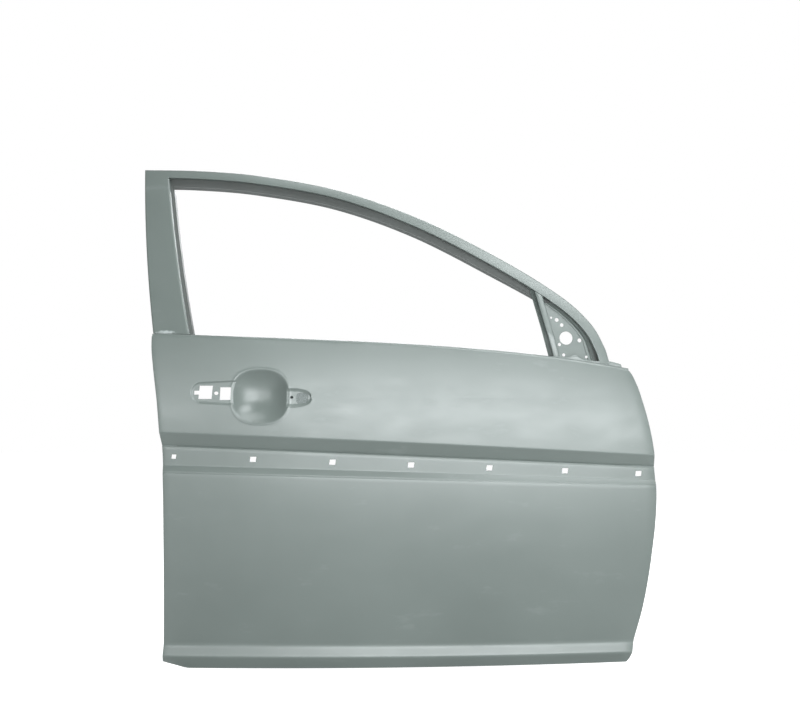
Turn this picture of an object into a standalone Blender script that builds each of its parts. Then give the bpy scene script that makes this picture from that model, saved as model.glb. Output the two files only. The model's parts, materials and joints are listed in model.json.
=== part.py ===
"""Front right car door shell in bare pressed steel, as a body shop gets it before paint.

Metres, +Z up, +X to the front of the car, -Y out of the car. The world origin is the upper hinge's bolting
face. Below, a design point has X from the skin's rear edge, Y inwards from the outermost point of the skin and
Z up from the hem at the sill. One empty carries every piece and moves the design frame to the hinge face.
"""

import bmesh
import bpy
import numpy as np
from mathutils import Vector

# Overall sizes of the outer skin
LENGTH = 1.105  # rear edge at the waist to the foremost point
BELT_HEIGHT = 0.750  # top of the skin at its rear end
PLAN_RADIUS = 5.5  # bow of the skin seen from above
PLAN_APEX = 0.350  # where that bow is outermost
REAR_BOW = 0.025
FRONT_BOW = 0.080
REAR_EDGE_SHARES = (
    (0.0, -0.30), (0.05, -0.22), (0.20, -0.03), (0.40, 0.07), (0.55, 0.07), (0.67, -0.05),
    (0.71, -0.17), (0.80, -0.40), (0.90, -0.78), (0.955, -0.96), (1.02, -0.96),
)
FRONT_EDGE_SHARES = (
    (0.0, 0.76), (0.013, 0.68), (0.027, 0.63), (0.07, 0.55), (0.165, 0.345), (0.26, 0.20),
    (0.35, 0.10), (0.44, 0.02), (0.53, 0.0), (0.60, 0.055), (0.64, 0.09), (0.71, 0.20),
    (0.80, 0.42), (0.85, 0.58), (0.89, 0.79), (0.91, 1.0), (1.02, 1.1),
)

# Sheet thicknesses and fits
SKIN_SHEET = 0.0008
PANEL_SHEET = 0.0008
FRAME_SHEET = 0.0010
REINFORCEMENT_SHEET = 0.0015
HINGE_PLATE_SHEET = 0.0025
SPOT_GAP = 0.0003  # clearance between two sheets that are welded face to face
MERGE_SHARE = 0.1  # of the spot gap, within which points of a sheet are one
SEAT_SKIM = 0.00005  # skimmed off the hinge and latch seats, so that they are flat
OVERRUN = 0.010  # how far a cutter runs past the sheet on each side
SLOPE_PROBE = 0.001  # height over which a slope is measured

# Hem round the inner panel's flange, and the turned-in top of the skin
HEM_DEPTH = 0.010
HEM_BULGE = 0.0011
FLANGE_INSET = 0.0012
FLANGE_WIDTH = 0.012
BELT_FOLD = 0.0025
BELT_FOLD_SHARES = (0.3, 0.7)  # inwards and up, halfway round the fold
HEM_MITRE_SHARE = 0.5  # the least that a corner of the hem opens
BELT_FLANGE = 0.011

# Feature lines of the skin: height at the rear, fall to the front, extra fall that grows with the square
CREASE = (0.5314, 0.0363, 0.0179)
FOOT_OF_BAND = (0.5019, 0.0396, 0.0115)
LAND_BOTTOM = (0.4578, 0.0231, 0.0137)
STEP_BOTTOM = (0.4423, 0.0231, 0.0110)
SILL_COVE = (0.0510, 0.0020, 0.0)
SILL_EDGE = (0.0250, 0.0, -0.0010)
HEM_LINE = (-0.0030, -0.0050, 0.0)
BELT_FALL = 0.0398
BELT_DROOP = 0.0507
CHAMFER_LENGTH = 0.053
CHAMFER_HEIGHT = 0.016

# Depth of the skin behind its crease at each feature line, hem to belt
HEM_DEPTH_IN = 0.058
SILL_EDGE_IN = 0.044
SILL_COVE_IN = 0.052
STEP_IN = 0.011
LAND_IN = 0.017
BELT_IN = 0.0245

# Handle seat pressed into the skin, with a shallow wing each side
CUP_X = 0.2185
CUP_Z = 0.6112
CUP_HALF_WIDTH = 0.0625
CUP_HALF_HEIGHT = 0.0580
CUP_DEPTH = 0.028
CUP_SQUARENESS = 2.6
WING_DEPTH = 0.0018
WING_SOFT = 0.004
REAR_WING_END = 0.064
REAR_WING_LOW = 0.592
REAR_WING_HIGH = 0.643
FRONT_WING_TIP = 0.333
FRONT_WING_Z = 0.6090
FRONT_WING_HALF = 0.021
FRONT_WING_TAPER_SHARE = 0.6  # power by which its width falls to the tip
BOWL_ROUNDNESS_SHARE = 2.4  # power by which the bowl rises to its rim

# Where the skin's rows and columns of points lie: rows by feature line, the rest by the cup's and door's sizes
CUP_RINGS_SHARES = (-1.25, -1.0, -0.8, -0.6, -0.4, -0.3, 0.0, 0.25, 0.5, 0.6, 0.8, 1.0, 1.25)
CUP_COLUMNS_SHARES = (-1.25, -1.0, -0.8, -0.6, -0.4, 0.0, 0.4, 0.6, 0.8, 1.0, 1.25)
REAR_COLUMNS_SHARES = (0.0, 0.012, 0.035, 0.058, 0.072, 0.10)
FRONT_COLUMNS_SHARES = (0.29, 0.305, 0.34, 0.40, 0.47, 0.54, 0.61, 0.68, 0.75, 0.82, 0.88, 0.93, 0.965, 1.0)
LOWER_ROWS_SHARES = (0.0, 0.35, 1.0, 2.0, 2.1, 2.25, 2.4, 2.55, 2.7, 2.85, 3.0, 4.0, 5.0, 6.0)
UPPER_ROWS_SHARES = (6.81, 6.87, 6.94, 7.0)

# Holes in the skin, each as X and Z of its centre, width and height
CLIP_WIDTH = 0.0125
CLIP_HEIGHT = 0.0110
CLIP_DROP = 0.0025  # how far the clip holes sit below the middle of the land
CLIP_CLEARANCE = 0.006  # how much larger the panel behind is cut
CLIP_PLACE_SHARES = (0.0222, 0.1824, 0.342, 0.4994, 0.6574, 0.8116, 0.964)
LOCK_HOLE = (0.0970, 0.6200, 0.0320, 0.0290)
LOCK_NOTCH = (0.0785, 0.6192, 0.0090, 0.0095)
LINK_HOLE = (0.1215, 0.6180, 0.0085, 0.0080)
GASKET_HOLE = (0.1415, 0.6167, 0.0230, 0.0275)
SCREW_HOLE = (0.2885, 0.6090, 0.0070, 0.0070)
FRONT_WINDOW = (0.3120, 0.6080, 0.0250, 0.0215)

# Inner panel
INNER_IN = 0.145  # depth of its flat inner face
LEDGE_IN = 0.112
LEDGE_WIDTH = 0.024
WALL_DRAFT = 0.002
SILL_LEDGE = 0.020  # from the sill edge up to where the ledge turns into the inner face
HINGE_FACE_X = 1.045
LATCH_FACE_X = 0.034
HINGE_SEAT_HALF = (0.022, 0.046)  # half of each hinge seat along Y and Z
LATCH_SEAT_HALF = (0.030, 0.052)
LOCK_ACCESS_X = (0.042, 0.086)  # opening through the ledge's step, where the lock is fitted from inside
LOCK_ACCESS_Z = (0.590, 0.646)
PANEL_LEVELS = (0, 0, 0, 1, 1, 2, *[2] * 13, 2, 0, 0, 0)  # per column: 0 flange, 1 ledge, 2 inner face
PANEL_MIDDLE_SHARES = (0.09, 0.95)
SHELF_DROP = 0.060
SHELF_RISE = 0.030
SLOT_WIDTH = 0.038  # from the skin to the panel's top edge at the belt
APERTURE_LOW = 0.300
REAR_APERTURE = (0.072, 0.600, 0.655)
FRONT_APERTURE = (0.680, 0.930, 0.620)
APERTURE_RADIUS = 0.030
SPEAKER_X = 0.870
SPEAKER_Z = 0.170
SPEAKER_RADIUS = 0.075
SERVICE_RADIUS = 0.011
SERVICE_PLACE_SHARES = ((0.10, 0.30), (0.25, 0.20), (0.45, 0.20), (0.60, 0.28), (0.58, 0.62), (0.88, 0.40))

# Window frame
FRAME_SPAN = 1.076
FRAME_RISE = 0.452
FRAME_REAR_X = -0.0762
FRAME_FOOT_Z = 0.6893
FRAME_BASE_IN = 0.030
FRAME_DATUM_Z = 0.740
FRAME_LEAN_SHARE = 0.2125
FRAME_LEAN_RADIUS = 1.5
FRAME_PLAN_SHARE = 1.25
HEADER_OUTLINE_SHARES = (
    (0.0, 1.0), (0.123, 0.990), (0.256, 0.959), (0.431, 0.875), (0.604, 0.724),
    (0.774, 0.516), (0.900, 0.327), (0.962, 0.191), (0.990, 0.075), (1.0, 0.0),
)
HEADER_WIDTH = 0.0228
HEADER_WIDTH_SHARES = (0.85, 0.86, 0.87, 0.84, 0.93, 1.0, 1.0, 0.96, 0.97, 0.98)
CHANNEL_WIDTH = 0.0250
CHANNEL_WIDTH_SHARES = (1.0, 1.0, 1.0, 0.99, 0.91, 0.88, 0.60, 0.52, 0.52, 0.52)
HEADER_STATIONS = 27
PILLAR_FOOT_X = -0.0262
PILLAR_LEAN = 0.0500
PILLAR_BOW = 0.0030
PILLAR_WIDTH = 0.0795
PILLAR_TAPER = 0.0235
PILLAR_CHANNEL = 0.0080
PILLAR_STATIONS = 7
FRAME_FOLD = 0.0015
FRAME_FOOT_GAP = 0.0008  # clearance between the frame's feet and the belt they are welded to
OUTER_FLANGE = 0.026
CHANNEL_IN = 0.022
LIP_IN = 0.032
FRAME_DEPTH = 0.040
BOX_SETBACK = 0.003
# Sections of the frame's two sheets: share of the face width, share of the channel width, length and depth
FRAME_OUTER_SECTION = (
    (0, 0, 0.0, OUTER_FLANGE),
    (0, 0, 0.0, FRAME_FOLD),
    (0, 0, FRAME_FOLD, 0.0),
    (1, 0, -FRAME_FOLD, 0.0),
    (1, 0, 0.0, FRAME_FOLD),
    (1, 0, 0.0, CHANNEL_IN - SPOT_GAP),
)
FRAME_INNER_SECTION = (
    (0, 0, 2 * FRAME_SHEET + SPOT_GAP, CHANNEL_IN / 2),
    (0, 0, 2 * FRAME_SHEET + SPOT_GAP, FRAME_DEPTH - 2 * BOX_SETBACK),
    (0, 0, 2 * FRAME_SHEET + SPOT_GAP + BOX_SETBACK, FRAME_DEPTH),
    (1, 0, -BOX_SETBACK, FRAME_DEPTH),
    (1, 0, -BOX_SETBACK, CHANNEL_IN),
    (1, 1, -BOX_SETBACK, CHANNEL_IN),
    (1, 1, 0.0, CHANNEL_IN + BOX_SETBACK),
    (1, 1, 0.0, LIP_IN),
)

# Division bar between the door glass and the mirror panel
BAR_TOP_X = 0.8336
BAR_LEAN_SHARE = 0.266
BAR_WIDTH = 0.0145
BAR_DEPTH = 0.0195
BAR_BELT_IN = 0.0640
BAR_FOOT_Z = 0.500
BAR_STATIONS = 7
SAIL_FOOT_Z = 0.668
SAIL_TOP_Z = 0.822
SAIL_STATIONS = 9
MIRROR_PLATE_Z = (0.676, 0.782)
MIRROR_PLATE_REAR = 0.010
MIRROR_PLATE_FRONT = 0.022
MIRROR_HOLE = (0.9045, 0.7413, 0.0145)
MIRROR_NUT_HOLES = ((0.8860, 0.7700, 0.0042), (0.9300, 0.7361, 0.0044), (0.8981, 0.7031, 0.0040))
SAIL_PIN_HOLES = ((0.8718, 0.7878, 0.0022), (0.8889, 0.7267, 0.0034), (0.9450, 0.6990, 0.0028))

# Beams, plates and nuts
BEAM_RADIUS = 0.0150
BEAM_WALL = 0.0020
BEAM_REAR = (0.060, 0.045, 0.330)
BEAM_FRONT = (1.022, 0.072, 0.400)
STRIP_HEIGHT = 0.042
STRIP_HAT = 0.006
STRIP_STATIONS = 15
STRIP_REAR_X = 0.062
STRIP_FRONT_X = 0.800
STRIP_SECTION_SHARES = ((0.0, 0.0), (0.25, 0.0), (0.36, 1.0), (0.64, 1.0), (0.75, 0.0), (1.0, 0.0))
BRACKET_REACH = 0.050
BRACKET_HALF = 0.025
STRAP_HALF = 0.018
STRAP_CHECKS = 21  # places each way where the strap's clearance from the bowl is taken
STRAP_PLACE_SHARES = (-0.45, 1.10, 2.30, 2.95)
MIRROR_NUT_CLEARANCE = 0.0024
HINGE_IN = 0.112
UPPER_HINGE_Z = 0.545
LOWER_HINGE_Z = 0.235
HINGE_PLATE_HEIGHT = 0.110
HINGE_PLATE_WIDTH = 0.052
HINGE_BOLT_PITCH = 0.060
HINGE_BOLT_RADIUS = 0.0055
CHECK_STRAP_Z = 0.455
LATCH_Z = 0.470
LATCH_IN = 0.075
LATCH_MOUTH_RADIUS = 0.017
LATCH_SCREW_RADIUS = 0.0035
LATCH_SCREWS = ((-0.026, 0.006), (0.026, 0.006), (0.0, -0.030))
LATCH_PLATE = (0.033, 0.055)  # half its width and half its height
CHECK_PLATE_HEIGHT = 0.036
GUIDE_WIDTH = 0.013
GUIDE_DEPTH = 0.019
GUIDE_IN = 0.062
GUIDE_LOW_Z = 0.540
GUIDE_HIGH_Z = 0.700
NUT_RADIUS = 0.0085
NUT_HEIGHT = 0.008
ROUND_SEGMENTS = 24
MIRROR_NUT_SHARE = 0.8  # of the hinge nuts' radius
BRACKET_FOOT_SHARE = 0.6  # of the bracket's reach, for its front foot
SETTLE_ROUNDS = 6  # passes in which points settle on curves that follow each other

MOUNT_POINT = (HINGE_FACE_X, HINGE_IN, UPPER_HINGE_Z)


def clear_scene():
    for old in list(bpy.data.objects):
        bpy.data.objects.remove(old, do_unlink=True)


def new_collection(name, parent):
    made = bpy.data.collections.new(name)
    parent.children.link(made)
    return made


def paint(name, colour, roughness, metallic):
    made = bpy.data.materials.new(name)
    made.use_nodes = True
    shader = made.node_tree.nodes["Principled BSDF"]
    shader.inputs["Base Color"].default_value = (*colour, 1.0)
    shader.inputs["Roughness"].default_value = roughness
    shader.inputs["Metallic"].default_value = metallic
    return made


clear_scene()
SCENE_ROOT = bpy.context.scene.collection
PARTS = new_collection("car_door_shell", SCENE_ROOT)
CUTTERS = new_collection("cutters", SCENE_ROOT)
PRIMER = paint("electro_coat_primer", (0.38, 0.43, 0.42), 0.42, 0.0)
PRIMER_INSIDE = paint("electro_coat_primer_inside", (0.25, 0.28, 0.27), 0.50, 0.0)
PRIMER_NUT = paint("electro_coat_primer_nut", (0.22, 0.25, 0.24), 0.50, 0.0)

CARRIER = bpy.data.objects.new("design_frame", None)
CARRIER.location = tuple(-value for value in MOUNT_POINT)
SCENE_ROOT.objects.link(CARRIER)


def keep(obj, collection, material=None):
    """Puts an object in its collection, under the empty that carries the design frame."""
    for other in list(obj.users_collection):
        other.objects.unlink(obj)
    collection.objects.link(obj)
    obj.parent = CARRIER
    if material:
        obj.data.materials.clear()
        obj.data.materials.append(material)
    return obj


def add_sheet(name, points, thickness, material):
    """A pressed sheet: a grid of points [row, column, XYZ] with its wall behind it.

    With rows going up and columns to the front, the face looks out of the car and the wall grows inwards.
    """
    rows, columns = points.shape[:2]
    index = np.arange(rows * columns).reshape(rows, columns)
    faces = np.stack([index[:-1, :-1], index[:-1, 1:], index[1:, 1:], index[1:, :-1]], axis=-1)
    mesh = bpy.data.meshes.new(name)
    mesh.from_pydata(points.reshape(-1, 3).tolist(), [], faces.reshape(-1, 4).tolist())
    return finish_sheet(name, mesh, thickness, material)


def finish_sheet(name, mesh, thickness, material):
    work = bmesh.new()
    work.from_mesh(mesh)
    bmesh.ops.remove_doubles(work, verts=work.verts, dist=SPOT_GAP * MERGE_SHARE)
    work.to_mesh(mesh)
    work.free()
    obj = keep(bpy.data.objects.new(name, mesh), PARTS, material)
    wall = obj.modifiers.new("wall", "SOLIDIFY")
    wall.thickness = thickness
    wall.offset = -1.0
    wall.use_even_offset = True
    wall.use_quality_normals = True
    mesh.shade_smooth()
    mesh.set_sharp_from_angle(angle=np.radians(30))
    return obj


def add_box(name, low, high, collection, material=None):
    bpy.ops.mesh.primitive_cube_add(size=1)
    box = bpy.context.object
    box.name = name
    low = np.array(low)
    high = np.array(high)
    for vertex in box.data.vertices:
        vertex.co = (low + high) / 2 + np.array(vertex.co) * (high - low)
    return keep(box, collection, material)


def add_rod(name, start, end, radius, segments, collection, material=None, ends="NGON"):
    """A cylinder between two points of the design frame, with its axis along the line between them."""
    start = np.array(start)
    axis = np.array(end) - start
    length = np.linalg.norm(axis)
    bpy.ops.mesh.primitive_cylinder_add(vertices=segments, radius=radius, depth=length, end_fill_type=ends)
    rod = bpy.context.object
    rod.name = name
    rod.location = start + axis / 2
    rod.rotation_mode = "QUATERNION"
    rod.rotation_quaternion = Vector(axis).to_track_quat("Z", "Y")
    return keep(rod, collection, material)


def cutter_group(obj):
    """A Boolean on the object that removes all that is put into the returned collection."""
    group = new_collection(obj.name + "_cutters", CUTTERS)
    cut = obj.modifiers.new("holes", "BOOLEAN")
    cut.operation = "DIFFERENCE"
    cut.operand_type = "COLLECTION"
    cut.collection = group
    cut.solver = "EXACT"
    return group


def as_cutter(obj):
    obj.hide_render = True
    obj.display_type = "WIRE"
    return obj


def cut_box(group, name, low, high):
    return as_cutter(add_box(name, low, high, group))


def cut_round(group, name, start, end, radius):
    return as_cutter(add_rod(name, start, end, radius, ROUND_SEGMENTS, group))


def smooth_curve(places, values, at):
    """A smooth curve through hand-chosen points: cubic pieces whose slopes come from their neighbours."""
    places = np.array(places)
    values = np.array(values)
    slopes = np.gradient(values, places, axis=0)
    at = np.asarray(at)
    k = np.clip(np.searchsorted(places, at, side="right") - 1, 0, len(places) - 2)
    span = places[k + 1] - places[k]
    s = (at - places[k]) / span
    if values.ndim > 1:
        s = s[..., None]
        span = span[..., None]
    start = (1 + 2 * s) * (1 - s) ** 2 * values[k] + s * (1 - s) ** 2 * span * slopes[k]
    end = s**2 * (3 - 2 * s) * values[k + 1] + s**2 * (s - 1) * span * slopes[k + 1]
    return start + end


def rear_edge(z):
    heights, shares = np.array(REAR_EDGE_SHARES).T
    return REAR_BOW * smooth_curve(heights, shares, np.clip(z / BELT_HEIGHT, 0, 1))


def front_edge(z):
    heights, shares = np.array(FRONT_EDGE_SHARES).T
    return LENGTH - FRONT_BOW * smooth_curve(heights, shares, np.clip(z / BELT_HEIGHT, 0, 1))


def falling_line(line, x):
    height, fall, droop = line
    along = x / LENGTH
    return height - fall * along - droop * along**2


def belt_line(x):
    along = np.clip(x / LENGTH, 0, None)
    return BELT_HEIGHT - BELT_FALL * along - BELT_DROOP * along**4


def feature_lines(x):
    """Heights of the eight feature lines at X: hem, sill edge, cove, step, land, band, crease and belt."""
    x = np.asarray(x, dtype=float)
    straight = (HEM_LINE, SILL_EDGE, SILL_COVE, STEP_BOTTOM, LAND_BOTTOM, FOOT_OF_BAND, CREASE)
    lines = [falling_line(line, x) for line in straight]
    return np.stack([*lines, belt_line(x) - BELT_FOLD])


def row_height(row, x):
    """Z of a row at X: 0 is the hem with its chamfer, 7 the belt, and whole rows are feature lines."""
    lines = feature_lines(x)
    from_rear = x - REAR_BOW * REAR_EDGE_SHARES[0][1]
    lines[0] += CHAMFER_HEIGHT * np.clip(1 - from_rear / CHAMFER_LENGTH, 0, 1)
    low = min(int(row), len(lines) - 2)
    return lines[low] + (row - low) * (lines[low + 1] - lines[low])


def row_at(x, z):
    lines = feature_lines(x)
    return np.clip((z - lines[:-1]) / (lines[1:] - lines[:-1]), 0, 1).sum(axis=0)


def bulge(share):
    share = np.clip(share, 0, 1)
    return share * (1 - share)


def profile(row):
    """Depth of the skin behind its crease: straight between feature lines, bowed above and below them."""
    depths = (HEM_DEPTH_IN, SILL_EDGE_IN, SILL_COVE_IN, STEP_IN, LAND_IN, LAND_IN, 0.0, BELT_IN)
    lower = (SILL_COVE_IN - STEP_IN) * bulge(row - 2)
    return np.interp(row, range(len(depths)), depths) - lower - BELT_IN * bulge(row - 6)


def plan_bow(x):
    return (x - PLAN_APEX) ** 2 / (2 * PLAN_RADIUS)


def skin_in(x, z):
    """Depth of the skin's outer face at X and Z, without the handle seat."""
    return plan_bow(x) + profile(row_at(x, z))


def steepness(x, z):
    """How much deeper a sheet is along Y than across its wall, on the steeper side of a feature line."""
    steps = [np.abs(skin_in(x, z + step) - skin_in(x, z)) for step in (-SLOPE_PROBE, SLOPE_PROBE)]
    return np.sqrt(1 + (np.maximum(*steps) / SLOPE_PROBE) ** 2)


def frame_in(x, z):
    """Depth of the window frame's outer face: it leans and curls inwards above the belt."""
    rise = z - FRAME_DATUM_Z
    lean = FRAME_LEAN_SHARE * rise + rise**2 / (2 * FRAME_LEAN_RADIUS)
    return FRAME_BASE_IN + FRAME_PLAN_SHARE * plan_bow(x) + lean


def skin_rows():
    crease = row_height(6, CUP_X)
    rise = row_height(7, CUP_X) - crease
    cup = [6 + (CUP_Z + share * CUP_HALF_HEIGHT - crease) / rise for share in CUP_RINGS_SHARES]
    return np.array([*LOWER_ROWS_SHARES, *cup, *UPPER_ROWS_SHARES])


def skin_columns():
    rear = rear_edge(CUP_Z)
    width = front_edge(CUP_Z) - rear
    cup = [(CUP_X + share * CUP_HALF_WIDTH - rear) / width for share in CUP_COLUMNS_SHARES]
    return np.array([*REAR_COLUMNS_SHARES, *cup, *FRONT_COLUMNS_SHARES])


def skin_grid(rows, columns):
    """X and Z of each grid point: rows follow the feature lines, columns share out the width at each height."""
    x = np.outer(np.ones(len(rows)), columns * LENGTH)
    for _ in range(SETTLE_ROUNDS):
        z = np.array([row_height(row, x[n]) for n, row in enumerate(rows)])
        x = rear_edge(z) + columns * (front_edge(z) - rear_edge(z))
    return x, z


def cup_radius(x, z):
    across = np.abs(x - CUP_X) / CUP_HALF_WIDTH
    up = np.abs(z - CUP_Z) / CUP_HALF_HEIGHT
    return (across**CUP_SQUARENESS + up**CUP_SQUARENESS) ** (1 / CUP_SQUARENESS)


def ring_grid(x, z):
    """Turns the square rings of the grid round the cup into rounded ones, less and less away from its rim."""
    square = np.maximum(np.abs(x - CUP_X) / CUP_HALF_WIDTH, np.abs(z - CUP_Z) / CUP_HALF_HEIGHT)
    round_ring = np.maximum(cup_radius(x, z), MERGE_SHARE * SPOT_GAP)
    weight = np.clip((CUP_RINGS_SHARES[-1] - square) / (CUP_RINGS_SHARES[-1] - 1), 0, 1)
    stretch = 1 + weight * (square / round_ring - 1)
    return CUP_X + (x - CUP_X) * stretch, CUP_Z + (z - CUP_Z) * stretch


def handle_press(x, z):
    """Depth of the handle seat below the skin: a bowl, and a shallow wing to its rear and its front."""
    bowl = CUP_DEPTH * np.clip(1 - cup_radius(x, z) ** BOWL_ROUNDNESS_SHARE, 0, 1)
    rear = np.minimum(x - REAR_WING_END, np.minimum(z - REAR_WING_LOW, REAR_WING_HIGH - z))
    rear = np.where(x < CUP_X, rear, 0)
    taper = (FRONT_WING_TIP - x) / (FRONT_WING_TIP - CUP_X - CUP_HALF_WIDTH)
    front = FRONT_WING_HALF * np.clip(taper, 0, 1) ** FRONT_WING_TAPER_SHARE - np.abs(z - FRONT_WING_Z)
    front = np.where(x > CUP_X, front, 0)
    wing = WING_DEPTH * np.clip(np.maximum(rear, front) / WING_SOFT, 0, 1)
    return np.maximum(bowl, wing)


def outward_normals(x, z):
    """Unit directions out of the door's outline, in X and Z, at each point of an open path round it."""
    steps = np.diff(np.stack([x, z], axis=1), axis=0)
    steps /= np.linalg.norm(steps, axis=1, keepdims=True)
    sides = np.stack([steps[:, 1], -steps[:, 0]], axis=1)
    first = np.concatenate([sides[:1], sides])
    second = np.concatenate([sides, sides[-1:]])
    middle = first + second
    middle /= np.linalg.norm(middle, axis=1, keepdims=True)
    return middle / np.maximum((middle * first).sum(axis=1, keepdims=True), HEM_MITRE_SHARE)


def hem_rings(edge, edge_rows):
    """The three lines of points that fold the skin's edge round the inner panel's flange."""
    stack = (2 * SKIN_SHEET + PANEL_SHEET + 2 * SPOT_GAP) * steepness(edge[:, 0], edge[:, 2])
    out = outward_normals(edge[:, 0], edge[:, 2]) * HEM_BULGE
    fold = np.stack([edge[:, 0] + out[:, 0], edge[:, 1] + stack / 2, edge[:, 2] + out[:, 1]], axis=1)
    back = np.stack([edge[:, 0], edge[:, 1] + stack, edge[:, 2]], axis=1)
    x = edge[:, 0].copy()
    on_rear = x < LENGTH / 2
    at_side = (edge_rows > 0) | (x == x[edge_rows == 0].min()) | (x == x[edge_rows == 0].max())
    x += HEM_DEPTH * at_side * np.where(on_rear, 1, -1)
    z = np.array([row_height(row, place) for row, place in zip(edge_rows, x)])
    z += HEM_DEPTH * np.clip(1 - edge_rows, 0, 1)
    y = skin_in(x, z) + stack
    return [fold, back, np.stack([x, y, z], axis=1)]


def build_outer_skin():
    """The outer panel: bowed sheet with a hem round three sides, a turned-in top and the handle seat."""
    rows = skin_rows()
    x, z = skin_grid(rows, skin_columns())
    x, z = ring_grid(x, z)
    y = skin_in(x, z) + handle_press(x, z)
    sheet = np.stack([x, y, z], axis=-1)
    inwards, up = BELT_FOLD * np.array(BELT_FOLD_SHARES)
    fold = np.array([(inwards, up), (BELT_FOLD, BELT_FOLD), (BELT_FLANGE, BELT_FOLD)])
    turned = [sheet[-1] + np.array([0.0, inwards, up]) for inwards, up in fold]
    sheet = np.concatenate([sheet, np.stack(turned)])
    count_rows, count_columns = len(rows), x.shape[1]
    index = np.arange(sheet.shape[0] * count_columns).reshape(sheet.shape[0], count_columns)
    faces = np.stack([index[:-1, :-1], index[:-1, 1:], index[1:, 1:], index[1:, :-1]], axis=-1).reshape(-1, 4)
    rim = np.concatenate([index[count_rows - 1 : 0 : -1, 0], index[0], index[1:count_rows, -1]])
    points = sheet.reshape(-1, 3)
    edge = points[rim]
    rings = hem_rings(edge, np.concatenate([rows[:0:-1], np.zeros(count_columns), rows[1:]]))
    ring_index = len(points) + np.arange(3 * len(rim)).reshape(3, len(rim))
    ring_index = np.concatenate([rim[None], ring_index])
    near, far = ring_index[:-1], ring_index[1:]
    hem = np.stack([near[:, 1:], near[:, :-1], far[:, :-1], far[:, 1:]], axis=-1)
    mesh = bpy.data.meshes.new("outer_skin")
    points = np.concatenate([points, *rings])
    mesh.from_pydata(points.tolist(), [], faces.tolist() + hem.reshape(-1, 4).tolist())
    skin = finish_sheet("outer_skin", mesh, SKIN_SHEET, PRIMER)
    group = cutter_group(skin)
    for number, (x, z) in enumerate(clip_places()):
        cut_skin_hole(group, f"clip_{number}", (x, z, CLIP_WIDTH, CLIP_HEIGHT))
    holes = (LOCK_HOLE, LOCK_NOTCH, LINK_HOLE, GASKET_HOLE, SCREW_HOLE, FRONT_WINDOW)
    for number, hole in enumerate(holes):
        cut_skin_hole(group, f"handle_hole_{number}", hole)
    return skin


def clip_places():
    for share in CLIP_PLACE_SHARES:
        x = share * LENGTH
        lines = feature_lines(x)
        yield x, (lines[4] + lines[5]) / 2 - CLIP_DROP


def cut_skin_hole(group, name, hole, larger=0.0):
    x, z, width, height = hole
    depth = skin_in(np.float64(x), np.float64(z))
    low = (x - width / 2 - larger, depth - OVERRUN, z - height / 2 - larger)
    high = (x + width / 2 + larger, depth + OVERRUN + larger, z + height / 2 + larger)
    return cut_box(group, name, low, high)


def panel_rows():
    """Rows of the inner panel, as on the skin, and how deep the sill side lets each one be."""
    hem_to_sill = row_height(1, LENGTH) - row_height(0, LENGTH)
    sill_to_cove = row_height(2, CUP_X) - row_height(1, CUP_X)
    panel_height = row_height(7, CUP_X) - row_height(6, CUP_X)
    flange = [length / hem_to_sill for length in (FLANGE_INSET, FLANGE_WIDTH, FLANGE_WIDTH + 2 * WALL_DRAFT)]
    ledge = [1.0] + [1 + length / sill_to_cove for length in (SILL_LEDGE, SILL_LEDGE + WALL_DRAFT)]
    shelf = 7 - SHELF_DROP / panel_height
    shoulder = 7 - SHELF_RISE / panel_height
    middle = [row for row in skin_rows() if 2 <= row < shelf]
    rows = np.array([*flange, *ledge, *middle, shelf, shoulder, 7.0])
    levels = np.array([0, 0, 1, 1, 1] + [2] * (len(rows) - 5))
    return rows, levels, shelf


def panel_row_height(row, x):
    """Z of a panel row: as on the skin, but below the sill edge a row keeps its distance from the hem."""
    height = row_height(row, x)
    if row < 1:
        hem = row_height(0, x)
        lines = feature_lines(x)
        height = hem + np.minimum(row * (lines[1] - lines[0]), np.sqrt(row) * (lines[1] - hem))
    return height


def panel_columns(row):
    """X and Z along one row of the inner panel: flange, latch wall, ledge, inner face, hinge wall, flange."""
    hinge_wall = HINGE_FACE_X - PANEL_SHEET + SEAT_SKIM
    latch_wall = LATCH_FACE_X + PANEL_SHEET - SEAT_SKIM
    count = len(PANEL_LEVELS)
    middle = slice(6, count - 4)
    shares = np.linspace(*PANEL_MIDDLE_SHARES, count - 10)
    x = np.linspace(0, LENGTH, count)
    for _ in range(SETTLE_ROUNDS):
        z = panel_row_height(row, x)
        rear, front = rear_edge(z), front_edge(z)
        wall = np.minimum(hinge_wall, front - FLANGE_WIDTH - 2 * WALL_DRAFT)
        x[:2] = rear[:2] + (FLANGE_INSET, FLANGE_WIDTH)
        x[2:6] = latch_wall + np.array([0, 0, LEDGE_WIDTH, LEDGE_WIDTH + WALL_DRAFT])
        x[middle] = latch_wall + shares * (wall[middle] - latch_wall)
        x[-4:-2] = wall[-4]
        x[-2:] = front[-2:] - (FLANGE_WIDTH, FLANGE_INSET)
    return x, panel_row_height(row, x)


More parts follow.
